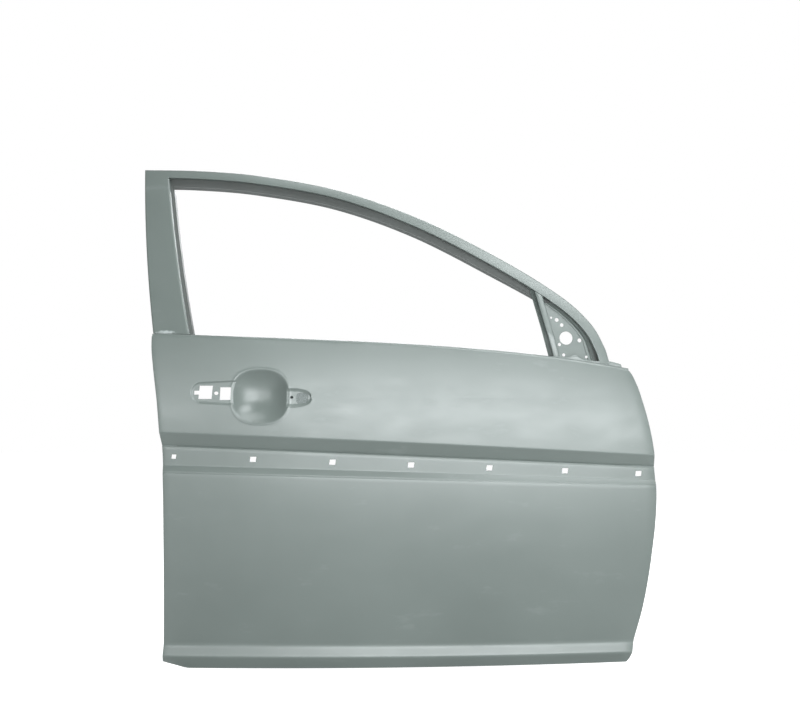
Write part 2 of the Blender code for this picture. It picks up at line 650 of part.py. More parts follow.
def build_inner_panel():
    """The inner stamping: flange in the hem, walls, ledge, flat inner face and the shelf at the belt."""
    rows, row_levels, shelf = panel_rows()
    grid = np.array([panel_columns(row) for row in rows])
    x, z = grid[:, 0], grid[:, 1]
    flange = skin_in(x, z) + (SKIN_SHEET + SPOT_GAP) * steepness(x, z)
    depths = np.array([0, LEDGE_IN, INNER_IN])
    column_levels = np.array(PANEL_LEVELS)
    by_column = np.where(column_levels == 0, flange, depths[column_levels])
    by_row = np.where(row_levels[:, None] == 0, flange, depths[row_levels][:, None])
    belt = plan_bow(x) + BELT_IN + SLOT_WIDTH
    by_row = np.where(rows[:, None] > shelf, np.minimum(by_row, belt), by_row)
    y = np.minimum(by_column, by_row)
    panel = add_sheet("inner_panel", np.stack([x, y, z], axis=-1), PANEL_SHEET, PRIMER_INSIDE)
    group = cutter_group(panel)
    for name, (low_x, high_x, top_z) in (("rear", REAR_APERTURE), ("front", FRONT_APERTURE)):
        cut_rounded(group, name + "_aperture", low_x, high_x, APERTURE_LOW, top_z)
    front_back = (INNER_IN - OVERRUN, INNER_IN + OVERRUN)
    cut_through(group, "speaker", SPEAKER_X, SPEAKER_Z, SPEAKER_RADIUS, front_back)
    for number, (share_x, share_z) in enumerate(SERVICE_PLACE_SHARES):
        place = (share_x * LENGTH, share_z * BELT_HEIGHT)
        cut_through(group, f"service_{number}", *place, SERVICE_RADIUS, front_back)
    for number, (x, z) in enumerate(clip_places()):
        if x < LATCH_FACE_X or x > HINGE_FACE_X:
            hole = (x, z, CLIP_WIDTH, CLIP_HEIGHT)
            cut_skin_hole(group, f"clip_clearance_{number}", hole, CLIP_CLEARANCE / 2)
    low_x, high_x = LOCK_ACCESS_X
    low_z, high_z = LOCK_ACCESS_Z
    cut_box(group, "lock_access", (low_x, LEDGE_IN - OVERRUN, low_z), (high_x, INNER_IN + OVERRUN, high_z))
    for name, low, high in wall_seats():
        cut_box(group, name, low, high)
    for name, start, radius in wall_holes():
        end = (start[0] + 2 * OVERRUN, start[1], start[2])
        cut_round(group, "panel_" + name, start, end, radius)
    return panel


def cut_through(group, name, x, z, radius, depths):
    return cut_round(group, name, (x, depths[0], z), (x, depths[1], z), radius)


def cut_rounded(group, name, low_x, high_x, low_z, high_z):
    """An opening with round corners through the flat inner face."""
    cutter = cut_box(group, name, (low_x, INNER_IN - OVERRUN, low_z), (high_x, INNER_IN + OVERRUN, high_z))
    work = bmesh.new()
    work.from_mesh(cutter.data)
    corners = [e for e in work.edges if abs(e.verts[0].co.y - e.verts[1].co.y) > OVERRUN]
    bmesh.ops.bevel(work, geom=corners, offset=APERTURE_RADIUS, segments=5, profile=0.5, affect="EDGES")
    work.to_mesh(cutter.data)
    work.free()
    return cutter


def wall_seats():
    """Name and two corners of each flat seat on the hinge wall and the latch wall."""
    half_y, half_z = HINGE_SEAT_HALF
    for side, middle in (("upper", UPPER_HINGE_Z), ("lower", LOWER_HINGE_Z)):
        low = (HINGE_FACE_X, HINGE_IN - half_y, middle - half_z)
        yield side + "_seat", low, (HINGE_FACE_X + OVERRUN, HINGE_IN + half_y, middle + half_z)
    half_y, half_z = LATCH_SEAT_HALF
    low = (LATCH_FACE_X - OVERRUN, LATCH_IN - half_y, LATCH_Z - half_z)
    yield "latch_seat", low, (LATCH_FACE_X, LATCH_IN + half_y, LATCH_Z + half_z)


def wall_holes():
    """Name, start point and radius of each hole along X through the hinge wall and the latch wall."""
    front = HINGE_FACE_X - OVERRUN
    for side, middle in (("upper", UPPER_HINGE_Z), ("lower", LOWER_HINGE_Z)):
        for number, step in enumerate((-HINGE_BOLT_PITCH / 2, HINGE_BOLT_PITCH / 2)):
            yield f"{side}_hinge_{number}", (front, HINGE_IN, middle + step), HINGE_BOLT_RADIUS
    yield "check_strap", (front, HINGE_IN, CHECK_STRAP_Z), HINGE_BOLT_RADIUS * 2
    rear = LATCH_FACE_X - OVERRUN
    yield "latch_mouth", (rear, LATCH_IN, LATCH_Z), LATCH_MOUTH_RADIUS
    for number, (inwards, up) in enumerate(LATCH_SCREWS):
        yield f"latch_screw_{number}", (rear, LATCH_IN + inwards, LATCH_Z + up), LATCH_SCREW_RADIUS


def walk_frame(section):
    """Carries a frame section from the rear pillar's foot up to the top corner and on to the front foot.

    A section point is a share of the face width, a share of the channel width, a length and a depth.
    """
    shares = np.array(HEADER_OUTLINE_SHARES)
    knots = np.arange(len(shares), dtype=float)
    along = np.linspace(0, len(shares) - 1, HEADER_STATIONS)
    outline = smooth_curve(knots, shares, along)
    header = outline * (FRAME_SPAN, FRAME_RISE) + (FRAME_REAR_X, FRAME_FOOT_Z)
    header_face = HEADER_WIDTH * np.interp(along, knots, HEADER_WIDTH_SHARES)
    header_channel = CHANNEL_WIDTH * np.interp(along, knots, CHANNEL_WIDTH_SHARES)
    rise = np.linspace(0, 1, PILLAR_STATIONS)[:-1]
    corner = header[0]
    lean = PILLAR_LEAN * rise + PILLAR_BOW * 4 * bulge(rise)
    pillar = np.stack([PILLAR_FOOT_X - lean, BELT_HEIGHT + rise * (corner[1] - BELT_HEIGHT)], axis=1)
    pillar_face = PILLAR_WIDTH - PILLAR_TAPER * rise
    pillar_channel = np.full(len(rise), PILLAR_CHANNEL)
    path = np.concatenate([pillar, header])
    step = np.gradient(path, axis=0)
    step /= np.linalg.norm(step, axis=1, keepdims=True)
    side = np.stack([step[:, 1], -step[:, 0]], axis=1)
    face = np.concatenate([pillar_face, header_face])
    channel = np.concatenate([pillar_channel, header_channel])
    turn = len(pillar)
    down = (path[turn - 1] - corner) / np.linalg.norm(path[turn - 1] - corner)
    ahead = (path[turn + 1] - corner) / np.linalg.norm(path[turn + 1] - corner)
    open_angle = abs(down[0] * ahead[1] - down[1] * ahead[0])
    side[turn - 1] = (-down[1], down[0])
    side[turn + 1] = (ahead[1], -ahead[0])
    columns = []
    for face_share, channel_share, length, depth in section:
        inset = face_share * face + channel_share * channel + length
        line = path + side * inset[:, None]
        pillar_inset = face_share * (PILLAR_WIDTH - PILLAR_TAPER) + channel_share * PILLAR_CHANNEL + length
        line[turn] = corner + (ahead * pillar_inset + down * inset[turn]) / open_angle
        for end, neighbour in ((0, 1), (-1, -2)):
            over = line[end, 1] - belt_line(line[end, 0]) - FRAME_FOOT_GAP
            fall = over / (line[neighbour, 1] - line[end, 1])
            line[end] += (line[end] - line[neighbour]) * fall
            line[end, 1] = belt_line(line[end, 0]) + FRAME_FOOT_GAP
        columns.append(np.stack([line[:, 0], frame_in(line[:, 0], line[:, 1]) + depth, line[:, 1]], axis=1))
    return np.stack(columns, axis=1)


def build_frame():
    add_sheet("frame_outer", walk_frame(FRAME_OUTER_SECTION), FRAME_SHEET, PRIMER)
    add_sheet("frame_inner", walk_frame(FRAME_INNER_SECTION), FRAME_SHEET, PRIMER)


def header_edge(x):
    """Height of the header's inner face edge at X, in front of the top of its arch."""
    edge = walk_frame([(1, 0, 0.0, 0.0)])[PILLAR_STATIONS:, 0]
    edge = edge[: np.argmax(edge[:, 0])]
    return np.interp(x, edge[:, 0], edge[:, 2])


def leg_edge(z):
    """X of the front leg's inner face edge at a height."""
    edge = walk_frame([(1, 0, 0.0, 0.0)])[PILLAR_STATIONS:, 0][::-1]
    return np.interp(z, edge[:, 2], edge[:, 0])


def bar_rear_x(z):
    return BAR_TOP_X + BAR_LEAN_SHARE * (header_edge(BAR_TOP_X) - z)


def build_division_bar():
    """A channel open to the rear, from the header down into the door, where the door glass ends."""
    columns = []
    for across, inwards in ((0.0, 0.0), (BAR_WIDTH, 0.0), (BAR_WIDTH, BAR_DEPTH), (0.0, BAR_DEPTH)):
        top = header_edge(BAR_TOP_X + across)
        for _ in range(SETTLE_ROUNDS):
            top = header_edge(bar_rear_x(top) + across) - 2 * SPOT_GAP
        z = np.concatenate([[BAR_FOOT_Z], np.linspace(belt_line(BAR_TOP_X) - BELT_FLANGE, top, BAR_STATIONS)])
        x = bar_rear_x(z) + across
        depth = np.maximum(frame_in(x, z) + FRAME_FOLD, BAR_BELT_IN)
        columns.append(np.stack([x, depth + inwards, z], axis=1))
    add_sheet("division_bar", np.stack(columns, axis=1), FRAME_SHEET, PRIMER)
    foot_x = bar_rear_x(BAR_FOOT_Z) + BAR_WIDTH + SPOT_GAP + REINFORCEMENT_SHEET
    seat = INNER_IN - SPOT_GAP - REINFORCEMENT_SHEET
    path = ((foot_x, BAR_BELT_IN), (foot_x, seat), (foot_x + 2 * BAR_WIDTH, seat))
    add_bent("division_bar_foot", path, BAR_FOOT_Z, BAR_FOOT_Z + 2 * BAR_WIDTH)


def build_sail_panel():
    """The triangular panel that carries the mirror, the plate welded behind it and the plate's nuts."""
    sail = sail_sheet("sail_panel", SAIL_FOOT_Z, SAIL_TOP_Z, SPOT_GAP, SPOT_GAP, 0.0, FRAME_SHEET)
    plate = sail_sheet("mirror_reinforcement", *MIRROR_PLATE_Z, MIRROR_PLATE_REAR, MIRROR_PLATE_FRONT,
                       FRAME_SHEET + SPOT_GAP, REINFORCEMENT_SHEET)
    groups = (cutter_group(sail), cutter_group(plate))
    holes = (MIRROR_HOLE, *MIRROR_NUT_HOLES, *SAIL_PIN_HOLES)
    for number, (x, z, radius) in enumerate(holes):
        depth = sail_in(x, z)
        for group, kept in zip(groups, (holes, (MIRROR_HOLE, *MIRROR_NUT_HOLES))):
            if (x, z, radius) in kept:
                start, end = (x, depth - OVERRUN, z), (x, depth + OVERRUN, z)
                cut_round(group, f"{group.name}_{number}", start, end, radius)
    for number, (x, z, _) in enumerate(MIRROR_NUT_HOLES):
        face = sail_in(x, z) + FRAME_SHEET + REINFORCEMENT_SHEET + MIRROR_NUT_CLEARANCE
        radius = NUT_RADIUS * MIRROR_NUT_SHARE
        add_tube(f"mirror_nut_{number + 1}", (x, face, z), (x, face + NUT_HEIGHT, z), radius)


def sail_in(x, z):
    return frame_in(x, z) + CHANNEL_IN - 2 * SPOT_GAP - FRAME_SHEET


def sail_sheet(name, low_z, high_z, rear_inset, front_inset, depth, thickness):
    z = np.linspace(low_z, high_z, SAIL_STATIONS)
    rear = bar_rear_x(z) + BAR_WIDTH + rear_inset
    front = leg_edge(z) - front_inset
    front = np.where(z < belt_line(front) + BELT_FLANGE, front[0], front) - SPOT_GAP
    x = rear[:, None] + np.linspace(0, 1, 4) * np.minimum.accumulate(front - rear)[:, None]
    z = np.repeat(z[:, None], 4, axis=1)
    return add_sheet(name, np.stack([x, sail_in(x, z) + depth, z], axis=-1), thickness, PRIMER)


def add_bent(name, path, low_z, high_z, thickness=REINFORCEMENT_SHEET):
    """A folded plate: a path in X and depth, carried straight up from one height to the other."""
    path = np.array(path)
    rows = [np.stack([path[:, 0], path[:, 1], np.full(len(path), z)], axis=1) for z in (low_z, high_z)]
    return add_sheet(name, np.stack(rows), thickness, PRIMER_INSIDE)


def add_tube(name, start, end, radius, wall=None, segments=6, material=PRIMER_NUT):
    """An open tube, or with six sides a nut with its bore."""
    tube = add_rod(name, start, end, radius, segments, PARTS, material, ends="NOTHING")
    solid = tube.modifiers.new("wall", "SOLIDIFY")
    solid.thickness = wall or radius / 2
    solid.use_even_offset = True
    return tube


def build_belt_strips():
    """Ribbed strips that stiffen the belt: one on the skin, one on the inner panel's top edge."""
    x = np.linspace(STRIP_REAR_X, STRIP_FRONT_X, STRIP_STATIONS)
    top = belt_line(x) - BELT_FOLD - 2 * SKIN_SHEET
    for name, height in (("belt_strip_outer", STRIP_HEIGHT), ("belt_strip_inner", STRIP_HEIGHT / 2)):
        rows = []
        for share, hat in STRIP_SECTION_SHARES:
            z = top - height * (1 - share)
            if name == "belt_strip_outer":
                y = skin_in(x, z) + SKIN_SHEET + SPOT_GAP + hat * STRIP_HAT
            else:
                y = plan_bow(x) + BELT_IN + SLOT_WIDTH - SPOT_GAP - FRAME_SHEET - hat * STRIP_HAT
            rows.append(np.stack([x, y, z], axis=1))
        add_sheet(name, np.stack(rows), FRAME_SHEET, PRIMER_INSIDE)


def build_impact_beam():
    """The side impact tube and the two folded brackets that hold its ends to the hinge and latch walls."""
    rear, front = np.array(BEAM_REAR), np.array(BEAM_FRONT)
    beam = add_tube("impact_beam", rear, front, BEAM_RADIUS, BEAM_WALL, ROUND_SEGMENTS, PRIMER_INSIDE)
    beam.data.shade_smooth()
    wall_x = LATCH_FACE_X + PANEL_SHEET + SPOT_GAP + REINFORCEMENT_SHEET
    end_x = rear[0] + BRACKET_REACH
    slope = (front - rear) / (front[0] - rear[0])
    seat = rear[1] + slope[1] * BRACKET_REACH + BEAM_RADIUS + SPOT_GAP
    path = ((wall_x, rear[1] - BEAM_RADIUS / 3), (wall_x, seat), (end_x, seat))
    add_bent("beam_bracket_rear", path, rear[2] - BRACKET_HALF, rear[2] + BRACKET_HALF)
    wall_x = HINGE_FACE_X - PANEL_SHEET - SPOT_GAP
    seat = front[1] + BEAM_RADIUS + 2 * SPOT_GAP
    foot = seat + BRACKET_REACH * BRACKET_FOOT_SHARE
    path = ((front[0] - BRACKET_REACH, seat), (wall_x, seat), (wall_x, foot))
    add_bent("beam_bracket_front", path, front[2] - BRACKET_HALF, front[2] + BRACKET_HALF)


def build_wall_plates():
    """Plates welded inside the hinge wall and the latch wall, with their nuts."""
    outer = HINGE_FACE_X - PANEL_SHEET - SPOT_GAP
    half = HINGE_PLATE_WIDTH / 2
    plates = (
        ("hinge_plate_upper", UPPER_HINGE_Z, HINGE_PLATE_HEIGHT),
        ("hinge_plate_lower", LOWER_HINGE_Z, HINGE_PLATE_HEIGHT),
        ("check_strap_plate", CHECK_STRAP_Z, CHECK_PLATE_HEIGHT),
    )
    made = []
    for name, z, height in plates:
        low = (outer - HINGE_PLATE_SHEET, HINGE_IN - half, z - height / 2)
        made.append(add_box(name, low, (outer, HINGE_IN + half, z + height / 2), PARTS, PRIMER_INSIDE))
    inner = LATCH_FACE_X + PANEL_SHEET + SPOT_GAP
    low = (inner, LATCH_IN - LATCH_PLATE[0], LATCH_Z - LATCH_PLATE[1])
    high = (inner + REINFORCEMENT_SHEET, LATCH_IN + LATCH_PLATE[0], LATCH_Z + LATCH_PLATE[1])
    made.append(add_box("latch_plate", low, high, PARTS, PRIMER_INSIDE))
    for plate in made:
        group = cutter_group(plate)
        for name, start, radius in wall_holes():
            if name.split("_")[0] in plate.name:
                end = (start[0] + 2 * OVERRUN, start[1], start[2])
                cut_round(group, f"{plate.name}_{name}", start, end, radius)
    nut_face = outer - HINGE_PLATE_SHEET - SPOT_GAP
    for name, start, _ in wall_holes():
        if "hinge" in name:
            start = (nut_face - NUT_HEIGHT, start[1], start[2])
            add_tube(name.replace("hinge", "hinge_nut"), start, (nut_face, start[1], start[2]), NUT_RADIUS)


def build_handle_bracket():
    """The strap behind the handle seat: it lies on the bowl and steps forward to the skin."""
    reach = np.linspace(-1, 1, STRAP_CHECKS)
    x, z = np.meshgrid(CUP_X + reach * CUP_HALF_WIDTH, CUP_Z + reach * STRAP_HALF)
    bowl = (skin_in(x, z) + handle_press(x, z)).max() + SKIN_SHEET + SPOT_GAP
    x = CUP_X + np.array(STRAP_PLACE_SHARES) * CUP_HALF_WIDTH
    rows = []
    for share in (-1, 0, 1):
        z = np.full(len(x), CUP_Z + share * STRAP_HALF)
        y = np.full(len(x), bowl)
        y[-2:] = skin_in(x[-2:], z[-2:]) + SKIN_SHEET + SPOT_GAP
        rows.append(np.stack([x, y, z], axis=1))
    add_sheet("handle_bracket", np.stack(rows), FRAME_SHEET, PRIMER_INSIDE)


def build_rear_guide():
    """The short glass guide on the latch wall, under the rear pillar, open to the front."""
    x = LATCH_FACE_X + PANEL_SHEET + SPOT_GAP + FRAME_SHEET
    y = GUIDE_IN
    path = ((x + GUIDE_WIDTH, y), (x, y), (x, y + GUIDE_DEPTH), (x + GUIDE_WIDTH, y + GUIDE_DEPTH))
    add_bent("rear_glass_guide", path, GUIDE_LOW_Z, GUIDE_HIGH_Z, FRAME_SHEET)


build_outer_skin()
build_inner_panel()
build_frame()
build_division_bar()
build_sail_panel()
build_belt_strips()
build_impact_beam()
build_wall_plates()
build_handle_bracket()
build_rear_guide()
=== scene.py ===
"""Looks of a bare front right car door shell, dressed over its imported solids.

Metres. Shapes are worked out in the door's design frame: X forward from the skin's rear edge, Y inwards
from the outermost point of the skin, Z up from the hem at the sill. DATUM moves them to the hinge face,
the world origin.
"""

import json

import bpy
import numpy as np
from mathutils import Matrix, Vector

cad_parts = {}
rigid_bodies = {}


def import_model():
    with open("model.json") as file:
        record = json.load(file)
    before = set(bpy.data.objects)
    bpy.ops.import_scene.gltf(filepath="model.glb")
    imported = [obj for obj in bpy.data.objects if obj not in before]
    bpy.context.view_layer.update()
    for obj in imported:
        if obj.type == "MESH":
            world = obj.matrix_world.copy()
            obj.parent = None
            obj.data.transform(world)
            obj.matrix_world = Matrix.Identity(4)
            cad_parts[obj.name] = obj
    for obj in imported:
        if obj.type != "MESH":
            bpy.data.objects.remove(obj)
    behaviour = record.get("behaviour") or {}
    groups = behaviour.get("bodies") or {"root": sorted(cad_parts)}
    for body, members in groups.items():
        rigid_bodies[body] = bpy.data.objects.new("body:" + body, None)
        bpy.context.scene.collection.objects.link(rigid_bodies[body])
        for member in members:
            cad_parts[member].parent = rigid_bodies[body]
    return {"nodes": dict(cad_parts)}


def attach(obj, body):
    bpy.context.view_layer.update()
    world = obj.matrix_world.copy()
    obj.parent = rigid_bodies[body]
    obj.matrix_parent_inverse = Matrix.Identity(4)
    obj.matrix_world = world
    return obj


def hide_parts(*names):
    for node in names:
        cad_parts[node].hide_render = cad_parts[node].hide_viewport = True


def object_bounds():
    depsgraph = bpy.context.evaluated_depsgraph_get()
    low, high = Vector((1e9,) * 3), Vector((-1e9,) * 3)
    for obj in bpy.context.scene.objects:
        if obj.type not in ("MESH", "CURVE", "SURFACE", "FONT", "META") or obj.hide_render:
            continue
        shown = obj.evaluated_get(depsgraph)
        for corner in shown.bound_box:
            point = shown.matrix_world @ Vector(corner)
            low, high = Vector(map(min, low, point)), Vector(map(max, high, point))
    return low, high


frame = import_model()
CAD_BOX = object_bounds()

# Driving sizes of the skin
DATUM = np.array((1.045, 0.112, 0.545))
LENGTH = 1.105
BELT_HEIGHT = 0.750
BELT_FALL = 0.0398
BELT_DROOP = 0.0507
PLAN_APEX = 0.350
PLAN_RADIUS = 5.5
REAR_BOW = 0.025
FRONT_BOW = 0.080
SKIN_SHEET = 0.0008
MERGE = 0.00004
SHARP_FOLD = np.radians(55)  # folds sharper than this are not shaded as curves
SHARP_EDGE = np.radians(40)
HEM_STACK = 0.0030  # three sheets and their gaps
HEM_DEPTH = 0.010
BELT_ROLL = 0.0055  # height of the fold along the top of the skin
BELT_FLANGE = 0.011
# Turned-in top of the skin, inwards and up from the last row: a narrow chamfer, a bend and a flange
BELT_FOLD = (
    (0.0003, 0.0008), (0.0013, 0.0027), (0.0023, 0.0046),
    (0.0032, 0.0053), (0.0050, 0.0055), (0.0110, 0.0055),
)
CHAMFER_LENGTH = 0.053
CHAMFER_HEIGHT = 0.016

# Feature lines of the skin: height at the rear, fall to the front, extra fall that grows with the square
HEM_LINE = (-0.0030, -0.0050, 0.0)
SILL_EDGE = (0.0250, 0.0, -0.0010)
SILL_COVE = (0.0510, 0.0020, 0.0)
STEP_BOTTOM = (0.4423, 0.0231, 0.0110)
LAND_BOTTOM = (0.4578, 0.0231, 0.0137)
FOOT_OF_BAND = (0.5019, 0.0396, 0.0115)
CREASE = (0.5314, 0.0363, 0.0179)

# Depths behind the crease, and the radius-like softness of each bend
HEM_IN = 0.058
SILL_IN = 0.044
COVE_IN = 0.052
STEP_IN = 0.011
LAND_IN = 0.017
BELT_IN = 0.0164
SOFT_SILL = 0.0030
SOFT_COVE = 0.0060
SOFT_STEP = 0.0012
SOFT_LAND = 0.0010
SOFT_FOOT = 0.0006
SOFT_CREASE = 0.0018
FOOT_GROOVE = (0.0022, 0.0012)  # depth and spread of the pinched-in line at the foot of the band
STEP_GROOVE = (0.0011, 0.0010)

# Handle seat
CUP = (0.2185, 0.6112)
CUP_HALF = (0.0625, 0.0580)
CUP_DEPTH = 0.028
CUP_SQUARENESS = 2.45
CUP_ROUNDNESS = 2.4
CUP_RIM_SOFT = 0.0026
CUP_LIP = 0.0009  # low bead round the bowl
CUP_LIP_SPREAD_SHARE = 0.028
CUP_LIP_PLACE_SHARE = 1.05
WING_DEPTH = 0.0026
WING_SOFT = 0.0020
REAR_WING_END = 0.0655
REAR_WING_Z = 0.6190
REAR_WING_HALF = 0.0220
REAR_WING_SPREAD = 0.05
FRONT_WING_TIP = 0.3317
FRONT_WING_Z = 0.6080
FRONT_WING_HALF = 0.0205
FRONT_WING_POWER = 2.6
FRONT_PAD_INSET = 0.0042
FRONT_PAD_DEPTH = 0.0014

REAR_EDGE_SHARES = (
    (0.0, -0.30), (0.05, -0.22), (0.20, -0.03), (0.40, 0.07), (0.55, 0.07), (0.67, -0.05),
    (0.71, -0.17), (0.80, -0.40), (0.90, -0.78), (0.955, -0.96), (1.02, -0.96),
)
FRONT_EDGE_SHARES = (
    (0.0, 0.76), (0.013, 0.68), (0.027, 0.63), (0.07, 0.55), (0.165, 0.345), (0.26, 0.20),
    (0.35, 0.10), (0.44, 0.02), (0.53, 0.0), (0.60, 0.055), (0.64, 0.09), (0.71, 0.20),
    (0.80, 0.42), (0.85, 0.58), (0.89, 0.79), (0.91, 1.0), (1.02, 1.1),
)

# Window frame
FRAME_SPAN = 1.076
FRAME_RISE = 0.452
FRAME_REAR_X = -0.0762
FRAME_FOOT_Z = 0.6893
FRAME_BASE_IN = 0.030
FRAME_DATUM_Z = 0.740
FRAME_LEAN_SHARE = 0.2125
FRAME_LEAN_RADIUS = 1.5
FRAME_PLAN_SHARE = 1.25
FRAME_FOOT_GAP = 0.0008
FRAME_SHEET = 0.0010
HEADER_OUTLINE_SHARES = (
    (0.0, 1.0), (0.123, 0.990), (0.256, 0.959), (0.431, 0.875), (0.604, 0.724),
    (0.774, 0.516), (0.900, 0.327), (0.962, 0.191), (0.990, 0.075), (1.0, 0.0),
)
HEADER_WIDTH = 0.0228
HEADER_WIDTH_SHARES = (0.85, 0.86, 0.87, 0.84, 0.93, 1.0, 1.0, 0.96, 0.97, 0.98)
CHANNEL_WIDTH = 0.0250
CHANNEL_WIDTH_SHARES = (1.0, 1.0, 1.0, 0.99, 0.91, 0.88, 0.60, 0.52, 0.52, 0.52)
PILLAR_FOOT_X = -0.0262
PILLAR_LEAN = 0.0500
PILLAR_BOW = 0.0030
PILLAR_WIDTH = 0.0795
PILLAR_TAPER = 0.0235
PILLAR_CHANNEL = 0.0080
HEADER_STATIONS = 163
PILLAR_STATIONS = 41
OUTER_FLANGE = 0.026
CHANNEL_IN = 0.022
LIP_IN = 0.032
FRAME_DEPTH = 0.040
BOX_SETBACK = 0.003

# Division bar and mirror panel
BAR_TOP_X = 0.8336
BAR_LEAN_SHARE = 0.266
BAR_WIDTH = 0.0145
# Points of its section: X from its rear edge, and depth
BAR_SECTION = (
    (0.0, 0.0030), (0.0004, 0.0008), (0.0018, 0.0), (0.0125, 0.0), (0.0141, 0.0008), (BAR_WIDTH, 0.0026),
    (BAR_WIDTH, 0.0175), (0.0130, 0.0190), (-0.0070, 0.0190), (-0.0085, 0.0182), (-0.0090, 0.0165),
)
BAR_FOOT_Z = 0.500
BAR_SETBACK = 0.0015  # behind the frame's face
BAR_LOWER_IN = 0.0640  # least depth, where it runs down inside the door
SPOT_GAP = 0.0003
SAIL_FOOT_Z = 0.668
SAIL_TOP_Z = 0.822
MIRROR_PANEL_IN = 0.0165  # behind the frame's face
PLATE_SHEET = 0.0015
PLATE_CLEARANCE = 0.003
NUT_WALL = 0.0026
NUT_HEIGHT = 0.0048
NUT_COLLAR = (0.0006, 0.0052)  # how far out from the bore, and how high
NUT_SIDES = 48
LEG_SLOPE_SHARE = 0.80  # of a step along X, how much lies across the leaning leg
TROUGH = (0.0070, 0.0088)  # from the leg's inner edge: where the trough's floor ends and its wall ends
TROUGH_IN = 0.0075
FLANGE = (0.0135, 0.0148)
FLANGE_OUT = 0.0022
# Top edge of the flange behind the front of the belt: X and height over the belt
FLANGE_TOP = (
    (0.8700, 0.0010), (0.8890, 0.0030), (0.9078, 0.0042), (0.9161, 0.0085), (0.9236, 0.0108),
    (0.9308, 0.0090), (0.9380, 0.0055), (0.9667, 0.0042), (0.9840, 0.0060), (0.9993, 0.0088),
    (1.0156, 0.0080), (1.0240, 0.0068), (1.0280, 0.0045), (1.0292, 0.0),
)

# Inner panel
HINGE_FACE_X = 1.045
LATCH_FACE_X = 0.034
PANEL_SHEET = 0.0008
LEDGE_IN = 0.112
INNER_IN = 0.145
LEDGE_WIDTH = 0.024
SILL_LEDGE = 0.020
WALL_DRAFT = 0.002
WALL_ROUND = 0.007
FLANGE_INSET = 0.0012
FLANGE_WIDTH = 0.012
SHELF_DROP = 0.060
SHELF_RISE = 0.030
SHELF_IN = 0.0625  # depth of the panel's top edge behind the crease
# Openings through the inner face: low X, high X, low Z, high Z
APERTURES = ((0.072, 0.600, 0.300, 0.655), (0.680, 0.930, 0.300, 0.620))
APERTURE_RADIUS = 0.030
# Seat round an opening: where its floor ends, where its slope ends, and its depth
APERTURE_SEAT = (0.012, 0.020, 0.0030)
SPEAKER = (0.870, 0.170, 0.075)
SPEAKER_SEAT = (0.014, 0.022, 0.0060)
SERVICE_SHARES = ((0.10, 0.30), (0.25, 0.20), (0.45, 0.20), (0.60, 0.28), (0.58, 0.62), (0.88, 0.40))
SERVICE_RADIUS = 0.011
LOCK_ACCESS = (0.064, 0.618, 0.022, 0.028)
# Stiffening beads: both ends, and half the width
BEADS = (
    (0.180, 0.220, 0.590, 0.220, 0.011), (0.150, 0.110, 0.700, 0.110, 0.013),
    (0.640, 0.340, 0.640, 0.425, 0.010), (0.640, 0.510, 0.640, 0.600, 0.010),
)
BEAD_DEPTH = 0.0045
HINGE_BOLTS = ((0.515, 0.0055), (0.575, 0.0055), (0.205, 0.0055), (0.265, 0.0055), (0.455, 0.0110))
HINGE_IN = 0.112
LATCH = (0.075, 0.470, 0.017)
LATCH_SCREWS = ((-0.026, 0.006), (0.026, 0.006), (0.0, -0.030))
LATCH_SCREW_RADIUS = 0.0035
PANEL_DEPTHS = (0.125, 0.160)  # from in front of the inner face to behind it
LEDGE_DEPTHS = (0.100, 0.160)
SKIN_DEPTHS = (-0.020, 0.075)
MIRROR_DEPTHS = (0.040, 0.150)
WALL_REACH = 0.010

# Camera: level, square to the door
CAMERA_PLACE = (0.5274, -2.5, 0.687)
CAMERA_LENS = 51.14
SENSOR_WIDTH = 36.0

# Light
LAMP_COLOUR = (0.95, 0.985, 1.0)
ROOM_LIGHT = 0.12
# Square lamps: name, place, point they face, width and height, watts
SOFTBOXES = (
    ("front_softbox", (1.15, -2.65, 0.76), (0.6, 0.0, 0.60), (2.7, 1.04), 67.0),
    ("left_softbox", (-0.95, -2.6, 0.70), (0.1, 0.0, 0.6), (0.8, 0.5), 8.0),
    ("upper_softbox", (1.9, -1.85, 2.8), (0.8, 0.0, 0.8), (1.8, 1.4), 46.0),
    ("over_softbox", (0.8, -0.5, 3.2), (0.7, 0.0, 0.7), (2.0, 1.0), 24.0),
    ("back_softbox", (0.6, 2.6, 2.2), (0.5, 0.0, 0.5), (2.0, 2.0), 110.0),
)
FLOOR_HALF = 6.0
FLOOR_GAP = 0.0005


def smooth_curve(places, values, at):
    """A smooth curve through given points: cubic pieces whose slopes come from their neighbours."""
    places = np.array(places)
    values = np.array(values)
    slopes = np.gradient(values, places, axis=0)
    at = np.asarray(at)
    k = np.clip(np.searchsorted(places, at, side="right") - 1, 0, len(places) - 2)
    span = places[k + 1] - places[k]
    s = (at - places[k]) / span
    if values.ndim > 1:
        s = s[..., None]
        span = span[..., None]
    start = (1 + 2 * s) * (1 - s) ** 2 * values[k] + s * (1 - s) ** 2 * span * slopes[k]
    end = s**2 * (3 - 2 * s) * values[k + 1] + s**2 * (s - 1) * span * slopes[k + 1]
    return start + end


def rear_edge(z):
    """X of the rear edge: its bow times a smooth curve through its shares at each height."""
    heights, shares = np.array(REAR_EDGE_SHARES).T
    return REAR_BOW * smooth_curve(heights, shares, np.clip(z / BELT_HEIGHT, 0, 1))


def front_edge(z):
    """X of the front edge: the length less its bow times a smooth curve through its shares."""
    heights, shares = np.array(FRONT_EDGE_SHARES).T
    return LENGTH - FRONT_BOW * smooth_curve(heights, shares, np.clip(z / BELT_HEIGHT, 0, 1))


def falling_line(line, x):
    """Height of a line that falls with the share of the length, and droops with its square."""
    height, fall, droop = line
    along = x / LENGTH
    return height - fall * along - droop * along**2


